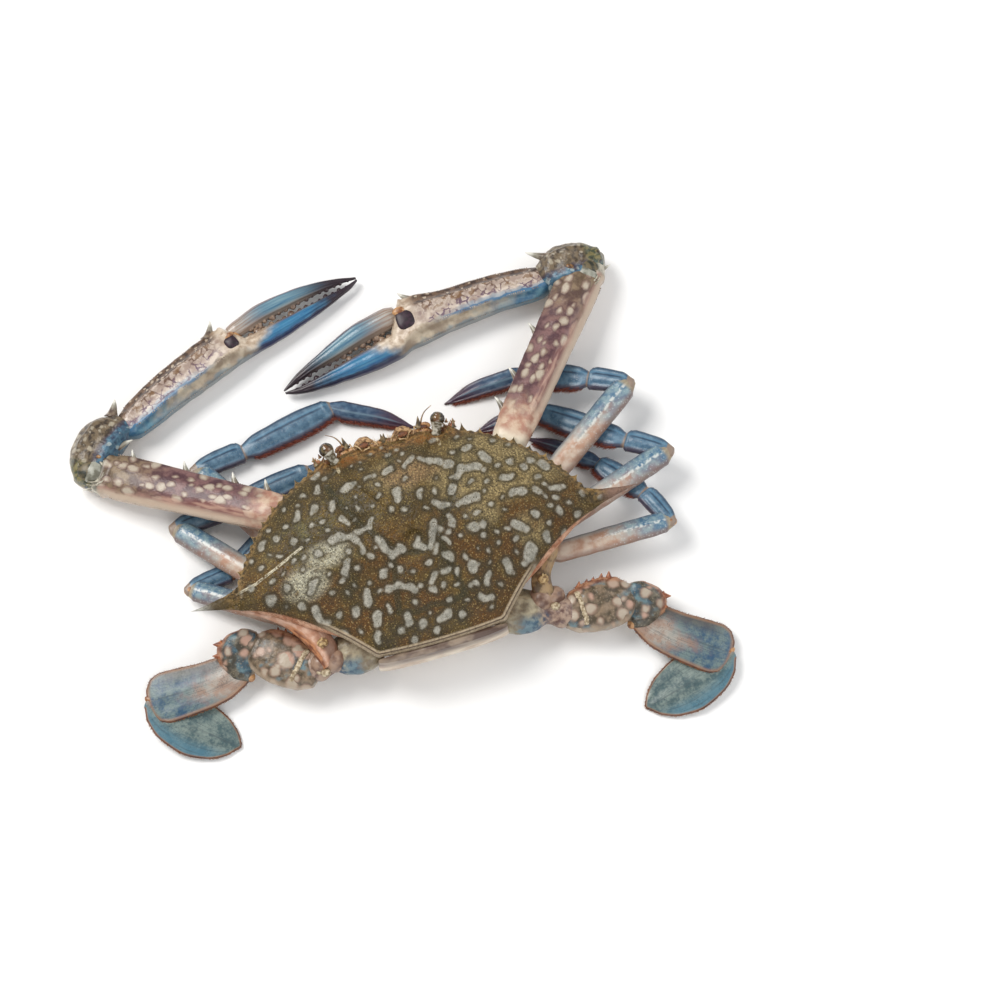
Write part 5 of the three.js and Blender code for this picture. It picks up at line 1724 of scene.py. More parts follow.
def feelers(side):
    """The long feeler, and the short one folded in its nook with its cup and threads."""
    flip = FLIPS[side]
    rng = np.random.default_rng(7)
    form = Form(f"antenna_{side}_feeler")
    sizes = [
        (0, 1.5), (0.15, 1.35), (0.24, 1), (0.3, 0.95), (0.38, 0.5), (0.45, 0.26), (0.7, 0.18), (1, 0.1),
    ]
    feeler_tube(form, np.array(FEELER) * flip, sizes)
    form.piece("feeler", f"antenna_{side}", "feeler")
    nook = np.array([6.5, 31.2, 25])
    form = Form(f"antennule_{side}")
    for wide, deep, lift, size in (
        (3, 2, 0.6, 0.8), (2.2, 1.5, 1.1, 0.3), (3.5, 2.9, -0.6, 0.55), (2.5, 2.7, 0.1, 0.4),
    ):
        turn = np.radians(np.linspace(rng.uniform(-12, 24), rng.uniform(150, 184), 9))
        arch = cols(wide * np.cos(turn), 0.6 + deep * np.sin(turn), lift + 0.5 * np.sin(turn))
        arch = arch + rng.uniform(-0.26, 0.26, arch.shape)
        feeler_tube(
            form, (nook + arch) * flip,
            [(0, size * 0.5), (0.3, size), (0.6, size * 0.7), (1, size * 0.6)], 60, 12, 7, 0.16,
        )
    form.ball((nook + np.array([-3.5, -0.2, 0.6])) * flip, (1.3, 1.2, 1.3), turns=12)
    form.piece("nook")
    # Painted shade: dark reddish brown lumps set in the two hollows of the brow stand for the shade
    # inside them.
    hollows = [(nook + [0, 1.1, 0.7], (2.2, 1.3, 0.8), 12), ((14, 32.7, 25.7), (1.3, 0.8, 0.6), 12)]
    lumps(f"antennule_{side}_hollow", "hollow", hollows, flip)
    form = Form(f"antenna_{side}_cup")
    turn = np.radians(np.linspace(-10, 190, 9))
    ring = cols(14 + 1.8 * np.cos(turn), 32.4 + 1.2 * np.sin(turn), 25.5 + 0.3 * np.sin(2 * turn))
    feeler_tube(form, ring * flip, [(0, 0.4), (0.5, 0.62), (1, 0.45)], 50, 12, 12, 0.3)
    for centre, radii, turns in (
        ((10.6, 31.6, 25.2), (1.7, 1.3, 1), 12), ((2.2, 31.2, 25), (1.9, 1.2, 0.9), 12),
        ((13.6, 31.2, 24.2), (2.6, 2, 1.7), 14), ((20.6, 30.2, 24.2), (3, 1.2, 1.2), 14),
    ):
        form.ball(np.array(centre) * flip, radii, turns=turns)
    form.piece("cup")
    form = Form(f"antennule_{side}_threads")
    for ends in (
        ((5, 30.4, 27.2), (8.4, 28.8, 26.6)), ((9.8, 32.6, 27), (7.4, 29, 26.8)),
        ((3.4, 32.4, 26.8), (1.9, 29.6, 26.4)), ((11, 33.6, 26.4), (9.8, 30.8, 26.8)),
    ):
        a, b = np.array(ends[0]), np.array(ends[1])
        middle = (a + b) / 2 + [rng.uniform(-0.4, 0.4), 0.3, 0.5]
        feeler_tube(
            form, np.array([a, middle, b]) * flip, [(0, 0.22), (0.6, 0.17), (1, 0.08)], 30, 8, 9, 0.2,
        )
    form.piece("thread")
    brow(side, rng)


def brow(side, rng):
    """The knobs, thorns and spinules between the feelers and round the eye."""
    flip = FLIPS[side]
    form = Form(f"brow_{side}_plates")
    for centre, radii, turns in (
        ((5.8, 29.8, 21.4), (5.2, 1.9, 3), 16), ((19.6, 28.9, 21.6), (4.6, 2.2, 2.4), 16),
        ((0.6, 31.6, 24.2), (2, 1.4, 1), 14),
    ):
        form.ball(np.array(centre) * flip, radii, turns=turns)
    for x in np.concatenate([rng.uniform(0.6, 13.8, 30), rng.uniform(15, 24, 12)]):
        size = rng.uniform(0.25, 0.55)
        root = np.array([x, 30.2 + rng.uniform(0, 2), 24 + rng.uniform(0, 1.6)])
        tip = root + [rng.uniform(-0.5, 0.5), 2.4 * size, 2 * size]
        form.horn(root * flip, tip * flip, size, sides=6, steps=5)
    form.piece("mouth_plate")
    form = Form(f"brow_{side}_thorns")
    for root, tip, size in (
        ((12.3, 33.2, 25), (12.9, 36.3, 27.2), 0.95), ((23.2, 30.2, 24.8), (23.9, 32.4, 26), 0.8),
        ((0.2, 31.6, 24.8), (0.5, 34, 26.8), 0.8),
    ):
        form.horn(np.array(root) * flip, np.array(tip) * flip, size, sides=10, steps=9)
    form.piece("thorn")
    form = Form(f"socket_{side}_thorns")
    for x in (15, 16.2, 21, 21.8, 22.7, 23.5):
        root = np.array([x, 29.6 + 0.16 * abs(x - 18.4) + rng.uniform(-0.2, 0.2), 25])
        tip = root + [0.5 * (x - 18.4) / 5, rng.uniform(0.9, 1.6), rng.uniform(0.7, 1.3)]
        form.horn(root * flip, tip * flip, rng.uniform(0.4, 0.6), sides=7, steps=6)
    form.piece("spinule")


# ---- the claws ----

WRIST = {
    "left": {"swing": -4.3, "spine": [(1.14, -5.8), (1.42, -7.1)]},
    "right": {"swing": -1.3, "spine": [(0.76, -6.1), (1.26, -10.1)]},
}
ARM_SPINES = [0.17, 0.33, 0.57, 0.83]
# How square the sections of the upper arm and of the hand are; 2 is an oval.
ARM_POWER, HAND_POWER = 2.8, 2.5

# The three edges of the upper arm and the hoop before the elbow.
arm_carve = carving(
    (0.06, 0.95, 0.1),
    [(14, 13, 0.5), (172, 14, 0.45), (100, 26, 0.45), (56, 18, -0.3), (138, 18, -0.3)],
    [(0.955, 0.012, 0.5), (0.925, 0.014, -0.3)],
)
wrist_carve = carving(
    (0, 0.95, 0.2),
    [(178, 12, 0.7), (122, 9, 0.9), (58, 9, 0.8), (5, 14, 0.4), (90, 16, -0.7), (150, 12, -0.4)],
    [(0.98, 0.04, 0.4)],
)
palm_keels = carving((0.04, 1.02, 0.1), [
    (20, 9, 0.45), (66, 8, 0.5), (112, 8, 0.55), (160, 9, 0.5), (43, 13, -0.4), (89, 14, -0.35),
    (136, 13, -0.35),
])
finger_carve = carving(
    (0.05, 0.95, 0.12), [(62, 10, -0.28), (116, 10, -0.28), (150, 10, -0.2), (30, 10, -0.2)],
)


def palm_carve(share, angle):
    """The keels of the palm, and a hoop round the side of its hinge."""
    side = smooth(np.sin(angle), -0.2, 0.4) * smooth(-np.cos(angle), -0.2, 0.2)
    return palm_keels(share, angle) + side * (
        lip(share, 0.97, 0.012, 0.25) + lip(share, 0.945, 0.012, -0.2)
    )


def claw(side):
    """A claw from hip to finger, with its spines, teeth, hinge and elbow."""
    hip, arm, wrist, hand, finger = bones(side, "claw")
    node, seed = f"claw_{side}_", 20 if side == "left" else 30
    round_section = {"power": 2.3, "sides": 72}
    limb_piece(
        node + "hip", hip, ROWS["claw_hip"], "pale_plate", "pale_underside", 2.3, sides=40, steps=30,
        seed=seed,
    )
    limb_piece(
        node + "merus", arm, ROWS["claw_arm"], "claw_arm", "claw_arm_shell",
        ARM_POWER, sides=72, steps=110, carve=arm_carve, seed=seed + 1,
    )
    spikes = Form(node + "spines")
    for share in ARM_SPINES:
        base, tip = arm.at(share - 0.012, 4.6, 0.9), arm.at(share + 0.035, 10.1, 2)
        spikes.horn(base, tip, 1.55, arm.along * 0.35 - arm.up * 0.1, 14, 14)
    spikes.horn(arm.at(0.975, -4.6, 1.6), arm.at(1.03, -7.4, 2.4), 1, sides=12)

    reach = WRIST[side]
    rows = [[s, w, t, a * reach["swing"]] for s, w, t, a in ROWS["wrist"]]
    limb_piece(
        node + "carpus", wrist, rows, "claw_wrist", "claw_arm_shell",
        steps=70, carve=wrist_carve, uneven=0.3, seed=seed + 2, **round_section,
    )
    (s0, a0), (s1, a1) = reach["spine"]
    spikes.horn(wrist.at(s0 - 0.05, a0 + 0.6, 1.6), wrist.at(s1, a1, 3), 1.75, wrist.along * 0.4, 14, 14)
    base, tip = wrist.at(0.5, 5.4 + rows[2][3], 2.5), wrist.at(0.85, 9.6 + rows[2][3], 3.2)
    spikes.horn(base, tip, 1.5, wrist.along * 0.4, 14, 12)

    form = Form(node + "palm_shell")
    palm_rows, fixed_rows = ROWS[f"palm_{side}"], ROWS[f"fixed_{side}"]
    first, first_lies = limb_rings(
        hand, palm_rows, HAND_POWER, sides=72, steps=96, carve=palm_carve, caps=(0.8, 0), seed=seed + 3,
    )
    last, last_lies = limb_rings(
        finger, fixed_rows, steps=96, carve=finger_carve, caps=(0, 0.25), seed=seed + 4, **round_section
    )
    last_lies = last_lies + np.array([1, 0, 0])
    mix = smooth(np.linspace(0, 1, 9)[1:-1], 0, 1)[:, None, None]
    middle, middle_lies = (
        a[-1] * (1 - mix) + b[0] * mix
        for a, b in ((first, last), (first_lies, last_lies))
    )
    form.rings(np.vstack([first, middle, last]), np.vstack([first_lies, middle_lies, last_lies]))
    form.piece("claw_hand", node + "palm", "claw_hand_shell")
    spikes.horn(hand.at(0.86, -5.4, 1.6), hand.at(0.96, -10, 2.4), 1.6, hand.along * 0.4, 14, 14)
    spikes.piece("spine_tips")

    rows = ROWS[f"finger_{side}"]
    limb_piece(
        node + "dactyl", finger, rows, "claw_finger", "claw_finger_shell",
        steps=110, carve=finger_carve, caps=(0.9, 0.25), seed=seed + 5, **round_section,
    )

    claw_teeth(node, finger, fixed_rows, rows, np.random.default_rng(seed))
    claw_hinge(node, side, hand, palm_rows)
    knobs(side)
    return arm, hand, palm_rows


def claw_teeth(node, finger, fixed_rows, finger_rows, rng):
    """The biting edges: groups of five rounded teeth, smaller towards the tips."""
    teeth = Sowing()
    for edge_rows, direction, offset in ((fixed_rows, -1, 0), (finger_rows, 1, 0.5)):
        shares = 0.13 + (np.arange(15) + offset + rng.uniform(-0.12, 0.12, 15)) * (0.84 / 15)
        big = 1 - 0.5 * shares
        roots = finger.at(shares, edge_place(edge_rows, shares, direction) - direction * 0.35, 0.1)
        group = np.array([0.72, 1.25, 0.8, 1, 0.62])[np.arange(15) % 5] * rng.uniform(0.9, 1.12, 15)
        sizes = cols(3 * big * (0.35 + 0.65 * group), 2.3 * big, 3.1 * big * group)
        teeth.add(roots, finger.fore * direction + finger.along * 0.1, finger.along, sizes, tones=shares)
    teeth.piece(node + "teeth", "tooth", "claw_teeth")


def claw_hinge(node, side, hand, palm_rows):
    """The dark pad and the soft flap over the hinge of the moving finger."""
    pad = Form(node + "hinge_pad")
    aside, size = (1.5, 2.2) if side == "left" else (0.6, 3.2)
    rise = eased(palm_rows, 0.97)[0, 1] - 0.45
    axes = [hand.along, hand.fore, hand.up]
    pad.ball(hand.at(0.965, aside, rise), (size, size * 1.05, 0.95), axes, 20, power=3.2)
    pad.piece("hinge_pad")
    flap = Form(node + "hinge_flap")
    flap.ball(hand.at(0.985, aside - size * 1.1, rise - 0.2), (size * 0.8, size * 0.5, 0.9), axes, 14)
    flap.piece("joint_skin")


# ---- the legs ----

thigh_carve = carving(
    (0.05, 0.95, 0.1), [(84, 20, 0.35), (40, 22, -0.18), (138, 22, -0.18)], [(0.955, 0.012, 0.25)],
)
shin_carve = carving(
    (0.05, 0.93, 0.12), [(62, 11, -0.3), (116, 11, -0.3), (90, 14, 0.2)], [(0.93, 0.014, 0.2)],
)
toe_carve = carving((0.08, 0.95, 0.12), [(56, 14, -0.3), (124, 14, -0.3), (90, 13, 0.3)])


def walking_leg(side, rank):
    """A walking leg from hip to toe; the ranks run from the front to the rear."""
    chain, girth = bones(side, f"leg{rank}"), WALKING_GIRTH[rank]
    looks = [
        ("hip", "walk_hip", "pale_plate", "pale_underside", None, 1),
        ("merus", "walk_thigh", "walking_thigh", "leg_cream_shell", thigh_carve, 0.8),
        ("carpus", "walk_knee", "walking_shin", "leg_blue_shell", shin_carve, 0.8),
        ("propodus", "walk_shin", "walking_shin", "leg_blue_shell", shin_carve, 0.7),
        ("dactyl", "walk_toe", "walking_toe", "leg_blue_shell", toe_carve, 0.2),
    ]
    for bone, (part, rows, look, slot, carve, cap) in zip(chain, looks):
        limb_piece(
            f"leg{rank}_{side}_{part}", bone, ROWS[rows], look, slot, girth=girth, sides=52,
            steps=84 if bone.length > 20 else 50, carve=carve, caps=(0.8, cap), uneven=0.08,
            seed=rank * 7 + len(side),
        )
    return chain, girth


oar_carve = carving(
    (0.1, 0.95, 0.12), [(10, 12, 0.4), (170, 12, 0.4), (70, 12, 0.3), (118, 16, -0.25)],
    [(0.93, 0.02, 0.3)],
)
# The thickened rim of a blade and a faint rib down its middle.
blade_carve = carving(
    (0.05, 0.98, 0.08), [(24, 7, 0.22), (156, 7, 0.22), (88, 9, 0.2), (108, 10, -0.12)],
)


def blade_outline(bone, rows, count=160):
    """The rim of a flat blade: from its root down one edge, round the tip and back."""
    t = np.linspace(rows[0][0], rows[-1][0], count)
    near = bone.at(t, edge_place(rows, t, 1))
    far = bone.at(t[::-1], edge_place(rows, t[::-1], -1))
    cap = np.linspace(0.1, 0.9, 9)[:, None]
    tip = near[-1] + (far[0] - near[-1]) * cap + bone.along * 0.6 * np.sin(cap * math.pi)
    return np.vstack([near, tip, far])


def rim_gap(points, bone, rows):
    """How far each point of a blade is from its rim, in the plane of the blade."""
    plane = np.array([bone.along, bone.fore]).T
    place, rim = (points - bone.start) @ plane, (blade_outline(bone, rows) - bone.start) @ plane
    off = place[:, None] - rim[None]
    return np.hypot(off[..., 0], off[..., 1]).min(1)


def swimming_leg(side):
    """A swimming leg from hip to paddle."""
    chain = bones(side, "swim")
    looks = [
        ("hip", "swim_hip", "swimming_hip", 1),
        ("merus", "swim_thigh", "swimming_arm", 0.8),
        ("carpus", "swim_knee", "swimming_knee", 0.8),
        ("propodus", "swim_blade", "swimming_shin", 0.8),
        ("paddle", "paddle", "swimming_paddle", 0.5),
    ]
    for bone, (part, rows, look, cap) in zip(chain, looks):
        flat = part in ("propodus", "paddle")
        sides, steps, uneven = (96, 110, 0.05) if flat else (64, 60, 0.15)
        limb_piece(
            f"swim_{side}_{part}", bone, ROWS[rows], look,
            "swimming_blade" if flat else "swimming_leg_shell",
            rimmed=flat, sides=sides, steps=steps, carve=blade_carve if flat else oar_carve,
            caps=(0.8, cap), uneven=uneven, seed=50 + len(side),
        )
    return chain


# ---- joints, hair and grains ----


def knobs(side):
    """The elbow: a pearly dome in a dark socket, its pale brim, and the brown knob beside it."""
    dome, condyle, arm_way = {
        "left": ((-94.9, 53, 12.4), (-91, 56.7, 13.2), -32),
        "right": ((82.4, 73.1, 12.5), (77.6, 76.4, 13.4), -128),
    }[side]
    dome, turn = np.array(dome), math.radians(arm_way)
    node = f"claw_{side}_elbow_"
    lumps(node + "dome", "pearl", [(dome - [0, 0, 0.5], (3.8, 3.8, 2), 20, 2.4)])
    socket = dome - np.array([math.cos(turn), math.sin(turn), 0.45]) * 1.3
    lumps(node + "socket", "elbow_socket", [(socket, (3.8, 3.8, 2), 20)])
    form = Form(node + "brim")
    for reach, lift, size in ((4, 0.6, 0.45), (5, 0.4, 0.4)):
        swing = turn + np.radians(np.linspace(-95, 95, 9))
        arc = dome + cols(reach * np.cos(swing), reach * np.sin(swing), lift)
        feeler_tube(form, arc, [(0, 0.15), (0.3, size), (0.7, size), (1, 0.15)], 50, 10, 5, 0.2)
    form.piece("brim")
    form = Form(node + "condyle")
    form.ball(np.array(condyle) - [0, 0, 0.4], (1.7, 1.1, 1.1), basis((0.3, 0.5, 0.8)), turns=14)
    form.piece("condyle")


def flank_skin(side):
    """The fold of skin below the flank, and the knobs and crust at the root of the swimming leg."""
    flip = FLIPS[side]
    inner = [
        (57, -7.8, 20.4), (49.5, -9.8, 20.2), (42, -13.8, 19.8), (37.5, -18.4, 19), (34.4, -23, 18),
        (33, -27.4, 16.8), (33.6, -31, 15.2),
    ]
    outer = {
        "left": [
            (60, -8.9, 19.6), (53.9, -12.4, 18.8), (47.6, -17.6, 18), (43.8, -22.8, 17.2),
            (41.4, -27.4, 16.4), (40.2, -31, 15.4), (39.8, -33.4, 14),
        ],
        "right": [
            (59, -8.8, 19.4), (52, -12, 18.4), (46.6, -15.6, 17.8), (43.6, -20, 17), (40.6, -24, 16.6),
            (39.8, -27.4, 16), (40.6, -31, 14),
        ],
    }[side]
    form = Form(f"flank_{side}_skin")
    flap(
        form, np.array(inner) * flip, np.array(outer) * flip,
        [(0, 0.5), (0.3, 1.5), (0.8, 2.1), (1, 1.6)],
    )
    form.piece("flank_skin")
    sockets = [((35.2, -31, 12.6), (4.6, 4.4, 4.6), 20), ((39.6, -31.2, 13), (3.6, 3.4, 3.4), 18)]
    lumps(f"swim_{side}_socket", "socket", sockets, flip)
    knots = [((38.9, -34.9, 14.4), (1.6, 1.36, 1.28), 12), ((40.9, -34, 13.8), (0.9, 0.765, 0.72), 12)]
    lumps(f"swim_{side}_knobs", "crust", knots, flip)
    form = Form(f"swim_{side}_gold_knob")
    rng = np.random.default_rng(23)
    spot = np.array([37.3, -26, 18.6]) * flip
    form.ball(spot, (1.9, 1.6, 1.5), turns=14)
    for turn in rng.uniform(0, 2 * math.pi, 9):
        out = unit(np.array([math.cos(turn), math.sin(turn), rng.uniform(0.3, 1.2)]))
        form.horn(spot + out * 1.1, spot + out * rng.uniform(1.9, 2.4), 0.5, sides=6, steps=5)
    form.piece("gold_knob")
    form = Form(f"swim_{side}_crust")
    hip = bones(side, "swim")[1]
    for t in np.linspace(-0.72, 0.72, 15):
        spot = hip.at(0.1 + rng.uniform(-0.008, 0.008), 7.2 * t, 4.4 * math.sqrt(1 - 0.85 * t * t))
        form.ball(spot, (rng.uniform(0.8, 1.2), 0.8, 0.6), basis((0.2, t, 1)), 8)
    form.piece("crust")


def flap(form, inner, outer, thick, sides=28, count=70):
    """A curved fold of skin between two paths, its thickness read along it."""
    near, _ = curve_through(inner, count)
    far, along = curve_through(outer, count)
    t = np.linspace(0, 1, count)
    angle = full_turn(sides)
    across = (far - near) / 2
    up = unit(np.cross(along, across))
    up = up * np.sign(up[:, 2:]) * np.interp(t, *zip(*thick))[:, None]
    c, s = np.cos(angle)[None, :, None], np.sin(angle)[None, :, None]
    rings = ((near + far) / 2)[:, None] + across[:, None] * c + up[:, None] * s * (1 + 0.5 * c)
    lies = cols(t[:, None], c[..., 0], s[..., 0])
    form.rings(rings, lies)


def flank_finish(name):
    """Pinkish skin that turns rust brown along its outer fold."""
    p, where, along, fore, _ = paint(name, 0.42, 0.15)
    cloud = p.noise(where, 3)
    streak = p.noise(p.drawn(along, 14, fore, 6), 1.6)
    pink = p.shade(cloud, 0.36, 0.64, (184, 136, 110), (214, 180, 158))
    rust = p.shade(streak, 0.36, 0.64, (110, 60, 34), (180, 122, 82))
    fold = p.rise(p.times(p.centred(streak), 0.7, fore), 0.3, 0.62)
    tone = p.blend((fold, p.rise(along, 0.2, 0.42)), pink, rust)
    tone = p.blend((p.rise(along, 0.5, 0.8), p.rise(fore, 0.3, -0.1), 0.8), tone, (96, 62, 42))
    right = p.rise(p.split(where)[0], -1, 1)
    bark = p.shade(cloud, 0.36, 0.64, (88, 68, 42), (158, 130, 92))
    bark = p.blend((p.rise(streak, 0.52, 0.68), 0.6), bark, (96, 66, 64))
    tone = p.blend((right, p.rise(along, 0.22, 0.5)), tone, bark)
    return p.done(tone, streak, 0.4, 0.9)


def joint_skins():
    """The soft skin in every joint, a rounded pad between one piece and the next."""
    form = Form("joint_skins")
    pads = {
        "claw": [(5.2, 4.8, 4), (4.8, 4.2, 4), (4, 3.6, 3.6), (3.2, 3.6, 3.2)],
        "leg": [(2.6, 2.8, 2), (2, 2.6, 1.5), (1.8, 2.5, 1.3), (1.5, 2, 1)],
        "swim": [(3.2, 3.6, 3.2), (2.4, 4.4, 2.6), (2.2, 3.4, 1.9), (1.6, 3, 0.9)],
    }
    for side in SIDES:
        for limb in LIMBS[side]:
            kind = limb.rstrip("234")
            for bone, before, radii in zip(bones(side, limb)[1:], bones(side, limb)[:-1], pads[kind]):
                folded = bone.along @ before.along <= -0.5
                axis = bone.fore if folded else unit(bone.along + before.along)
                across = unit(np.cross(bone.up, axis))
                form.ball(bone.start, radii, [axis, across, np.cross(axis, across)], 16)
    form.piece("joint_skin")


def edge_tufts(
    sowing, rng, bone, rows, direction, start, end, count, length, slant=0.7, girth=1, spread=0.35,
):
    """Tufts along one edge of a limb, pointing out and towards its tip."""
    shares = np.linspace(start, end, count) + rng.uniform(-0.3, 0.3, count) * (end - start) / count
    size = eased(rows, shares) * girth
    rise = rng.uniform(-0.45, 0.45, count) * size[:, 1]
    inset = 1 - 0.35 * np.abs(rise) / size[:, 1]
    roots = bone.at(shares, size[:, 2] + direction * size[:, 0] * inset - direction * 0.15, rise)
    aims = bone.fore * direction + bone.along * slant + bone.up * rng.uniform(-spread, spread, (count, 1))
    lengths = length * rng.uniform(0.8, 1.08, count)
    sizes = cols(0.5 + 0.5 * lengths, 0.5 + 0.5 * lengths, lengths)
    maps = cols((shares - rows[0][0]) / (rows[-1][0] - rows[0][0]), 0.25 + 0.25 * direction + 0.1 * rise)
    sowing.add(roots, aims, bone.along + 0 * roots, sizes, maps)


def leg_fringes(side, limb, chain, girth):
    """The fringes of a walking leg, three slants deep along its front edge."""
    rng = np.random.default_rng(len(limb) + ord(limb[-1]) + len(side))
    sowing = Sowing()
    knee, shin, toe = chain[2:]

    def row(bone, rows, direction, start, end, count, length, slant=0.7):
        edge_tufts(sowing, rng, bone, ROWS[rows], direction, start, end, count, length, slant, girth)

    for slant in (0.6, 1.1, 1.6):
        row(shin, "walk_shin", 1, 0.06, 0.95, int(shin.length * 3.6), 2.1, slant)
        row(toe, "walk_toe", 1, 0.06, 0.88, int(toe.length * 3.4), 1.7, slant)
    row(shin, "walk_shin", -1, 0.15, 0.93, 50, 0.55)
    row(toe, "walk_toe", -1, 0.1, 0.9, 50, 0.6)
    row(knee, "walk_knee", 1, 0.3, 0.95, 24, 0.7)
    sowing.piece(f"{limb}_{side}_fringe", "tuft", "russet_hair", coat=True)


def oar_fringes(side, chain):
    """The fringes of a swimming leg's blades, the tufts of its arm and its spinules."""
    rng = np.random.default_rng(60 + len(side))
    sowing = Sowing()
    for bone, rows, length in ((chain[3], ROWS["swim_blade"], 0.7), (chain[4], ROWS["paddle"], 0.75)):
        rim = blade_outline(bone, rows, 400)
        walk = np.concatenate([[0], np.cumsum(np.linalg.norm(np.diff(rim, axis=0), axis=1))])
        for _ in range(2):
            count = int(walk[-1] / 0.42)
            spot = np.sort(rng.uniform(walk[-1] * 0.04, walk[-1] * 0.96, count))
            roots = np.stack([np.interp(spot, walk, rim[:, k]) for k in range(3)], -1)
            ahead = np.stack([np.interp(spot + 0.4, walk, rim[:, k]) for k in range(3)], -1)
            run = unit(ahead - roots + 1e-9)
            out = np.cross(run, bone.up)
            middle = bone.at(0.5)
            out = out * np.sign((out * (roots - middle)).sum(-1, keepdims=True))
            toward = run * np.sign((run * bone.along).sum(-1, keepdims=True) + 1e-6)
            lift = rng.uniform(-0.5, 0.5, (count, 1))
            roots = roots - out * 0.25 + bone.up * lift * 0.8
            aims = out + 0.45 * toward + bone.up * (0.25 * lift)
            lengths = length * rng.uniform(0.6, 1.1, count)
            sizes = cols(0.5 + 0.4 * lengths, 0.5 + 0.4 * lengths, lengths)
            maps = cols(0.05 + 0.9 * spot / walk[-1], 0.3 + 0.3 * lift[:, 0])
            sowing.add(roots, aims, toward, sizes, maps)
    for part, rows in ((chain[1], ROWS["swim_thigh"]), (chain[2], ROWS["swim_knee"])):
        for _ in range(2):
            edge_tufts(sowing, rng, part, rows, 1, 0.05, 0.98, 44, 1, slant=0.4)
        edge_tufts(sowing, rng, part, rows, -1, 0.1, 0.95, 36, 0.7, slant=0.4)
    sowing.piece(f"swim_{side}_fringe", "tuft", "amber_hair", coat=True)
    spikes = Form(f"swim_{side}_spinules")
    for part, rows, shares in (
        (chain[1], ROWS["swim_thigh"], np.array([0.16, 0.3, 0.42, 0.57, 0.7])),
        (chain[2], ROWS["swim_knee"], np.array([0.2, 0.6])),
    ):
        edge = edge_place(rows, shares, 1)
        for share, aside in zip(shares, edge):
            reach = rng.uniform(0.7, 2.1)
            spikes.horn(
                part.at(share, aside - 0.6, 0.8), part.at(share + 0.04, aside + reach, 1.8),
                0.6 + 0.3 * reach, sides=8, steps=7,
            )
    spikes.piece("spinule")


def head_hair():
    """Short pale bristles over the brow, the eye sockets and the mouth, and along the teeth."""
    rng = np.random.default_rng(81)
    sowing = Sowing()
    count = 620
    x = rng.uniform(-24, 24, count)
    y = 30.3 + 1 * np.cos(x / 5) + rng.uniform(-0.8, 0.8, count)
    z = rng.uniform(20, 25.6, count)
    roots = cols(x, y, z)
    aims = cols(rng.uniform(-0.8, 0.8, count), rng.uniform(0.3, 1, count), rng.uniform(-0.1, 0.9, count))
    leans = cols(rng.uniform(-1, 1, count), 0, rng.uniform(-0.4, 1, count))
    lengths = rng.uniform(1.3, 3.4, count)
    sizes = cols(0.6, 0.8, lengths)
    sowing.add(roots, aims, leans, sizes, cols(0.5 + x / 60, 0.9 + (z - 22) / 60))
    for mirror in SIDES.values():
        turn = rng.uniform(0, math.pi, 90)
        far = rng.uniform(2.6, 3.8, 90)
        roots = cols(
            mirror * (6.5 + far * np.cos(turn)), 31.6 + 0.75 * far * np.sin(turn),
            rng.uniform(24.4, 26, 90),
        )
        aims = cols(-mirror * np.cos(turn), 0.2 - 0.6 * np.sin(turn), rng.uniform(0.2, 1.1, 90))
        sizes = cols(0.6, 0.6, rng.uniform(1, 2.2, 90))
        sowing.add(roots, aims, np.array([0, -1, 0.4]), sizes, cols(0.3 + 0.05 * np.cos(turn), 0.95))
    _, root = outline()
    walk = np.arange(len(root))
    keep = (root[:, 1] > -4) & (np.abs(root[:, 0]) > 22)
    picks = rng.choice(walk[keep], 420)
    out = unit(root[picks] - np.array([0, SHELL["middle"]]))
    z = rim_height(root[picks][:, 1]) - SHELL["edge"] - rng.uniform(0, 1.2, len(picks))
    roots = cols(root[picks][:, 0] * 0.985, root[picks][:, 1] * 0.985, z)
    aims = cols(out[:, 0], out[:, 1], rng.uniform(-0.5, 0.3, len(picks)))
    leans = cols(rng.uniform(-1, 1, len(picks)), 0.5, 0)
    lengths = rng.uniform(0.8, 1.5, len(picks))
    sowing.add(roots, aims, leans, cols(0.6, 0.6, lengths), 0.5 + root[picks] / 170)
    for side in SIDES:
        bone = mouth_bone(side)
        share = rng.uniform(0, 1, 70)
        edge = rng.choice([-1, 1], 70)
        spots = bone.start + bone.along * share[:, None] * bone.length
        spots[:, 0] += edge * 4
        spots[:, 1] += 1
        aims = cols(edge * 0.6, 0.6, rng.uniform(-0.6, 0.4, 70))
        sowing.add(
            spots, aims, np.array([0, 0, -1]), cols(0.6, 0.6, rng.uniform(0.9, 1.8, 70)),
            cols(0.5 + 0.05 * edge, 0.1 + 0.2 * share),
        )
    sowing.piece("head_hair", "tuft", "pale_hair", coat=True)


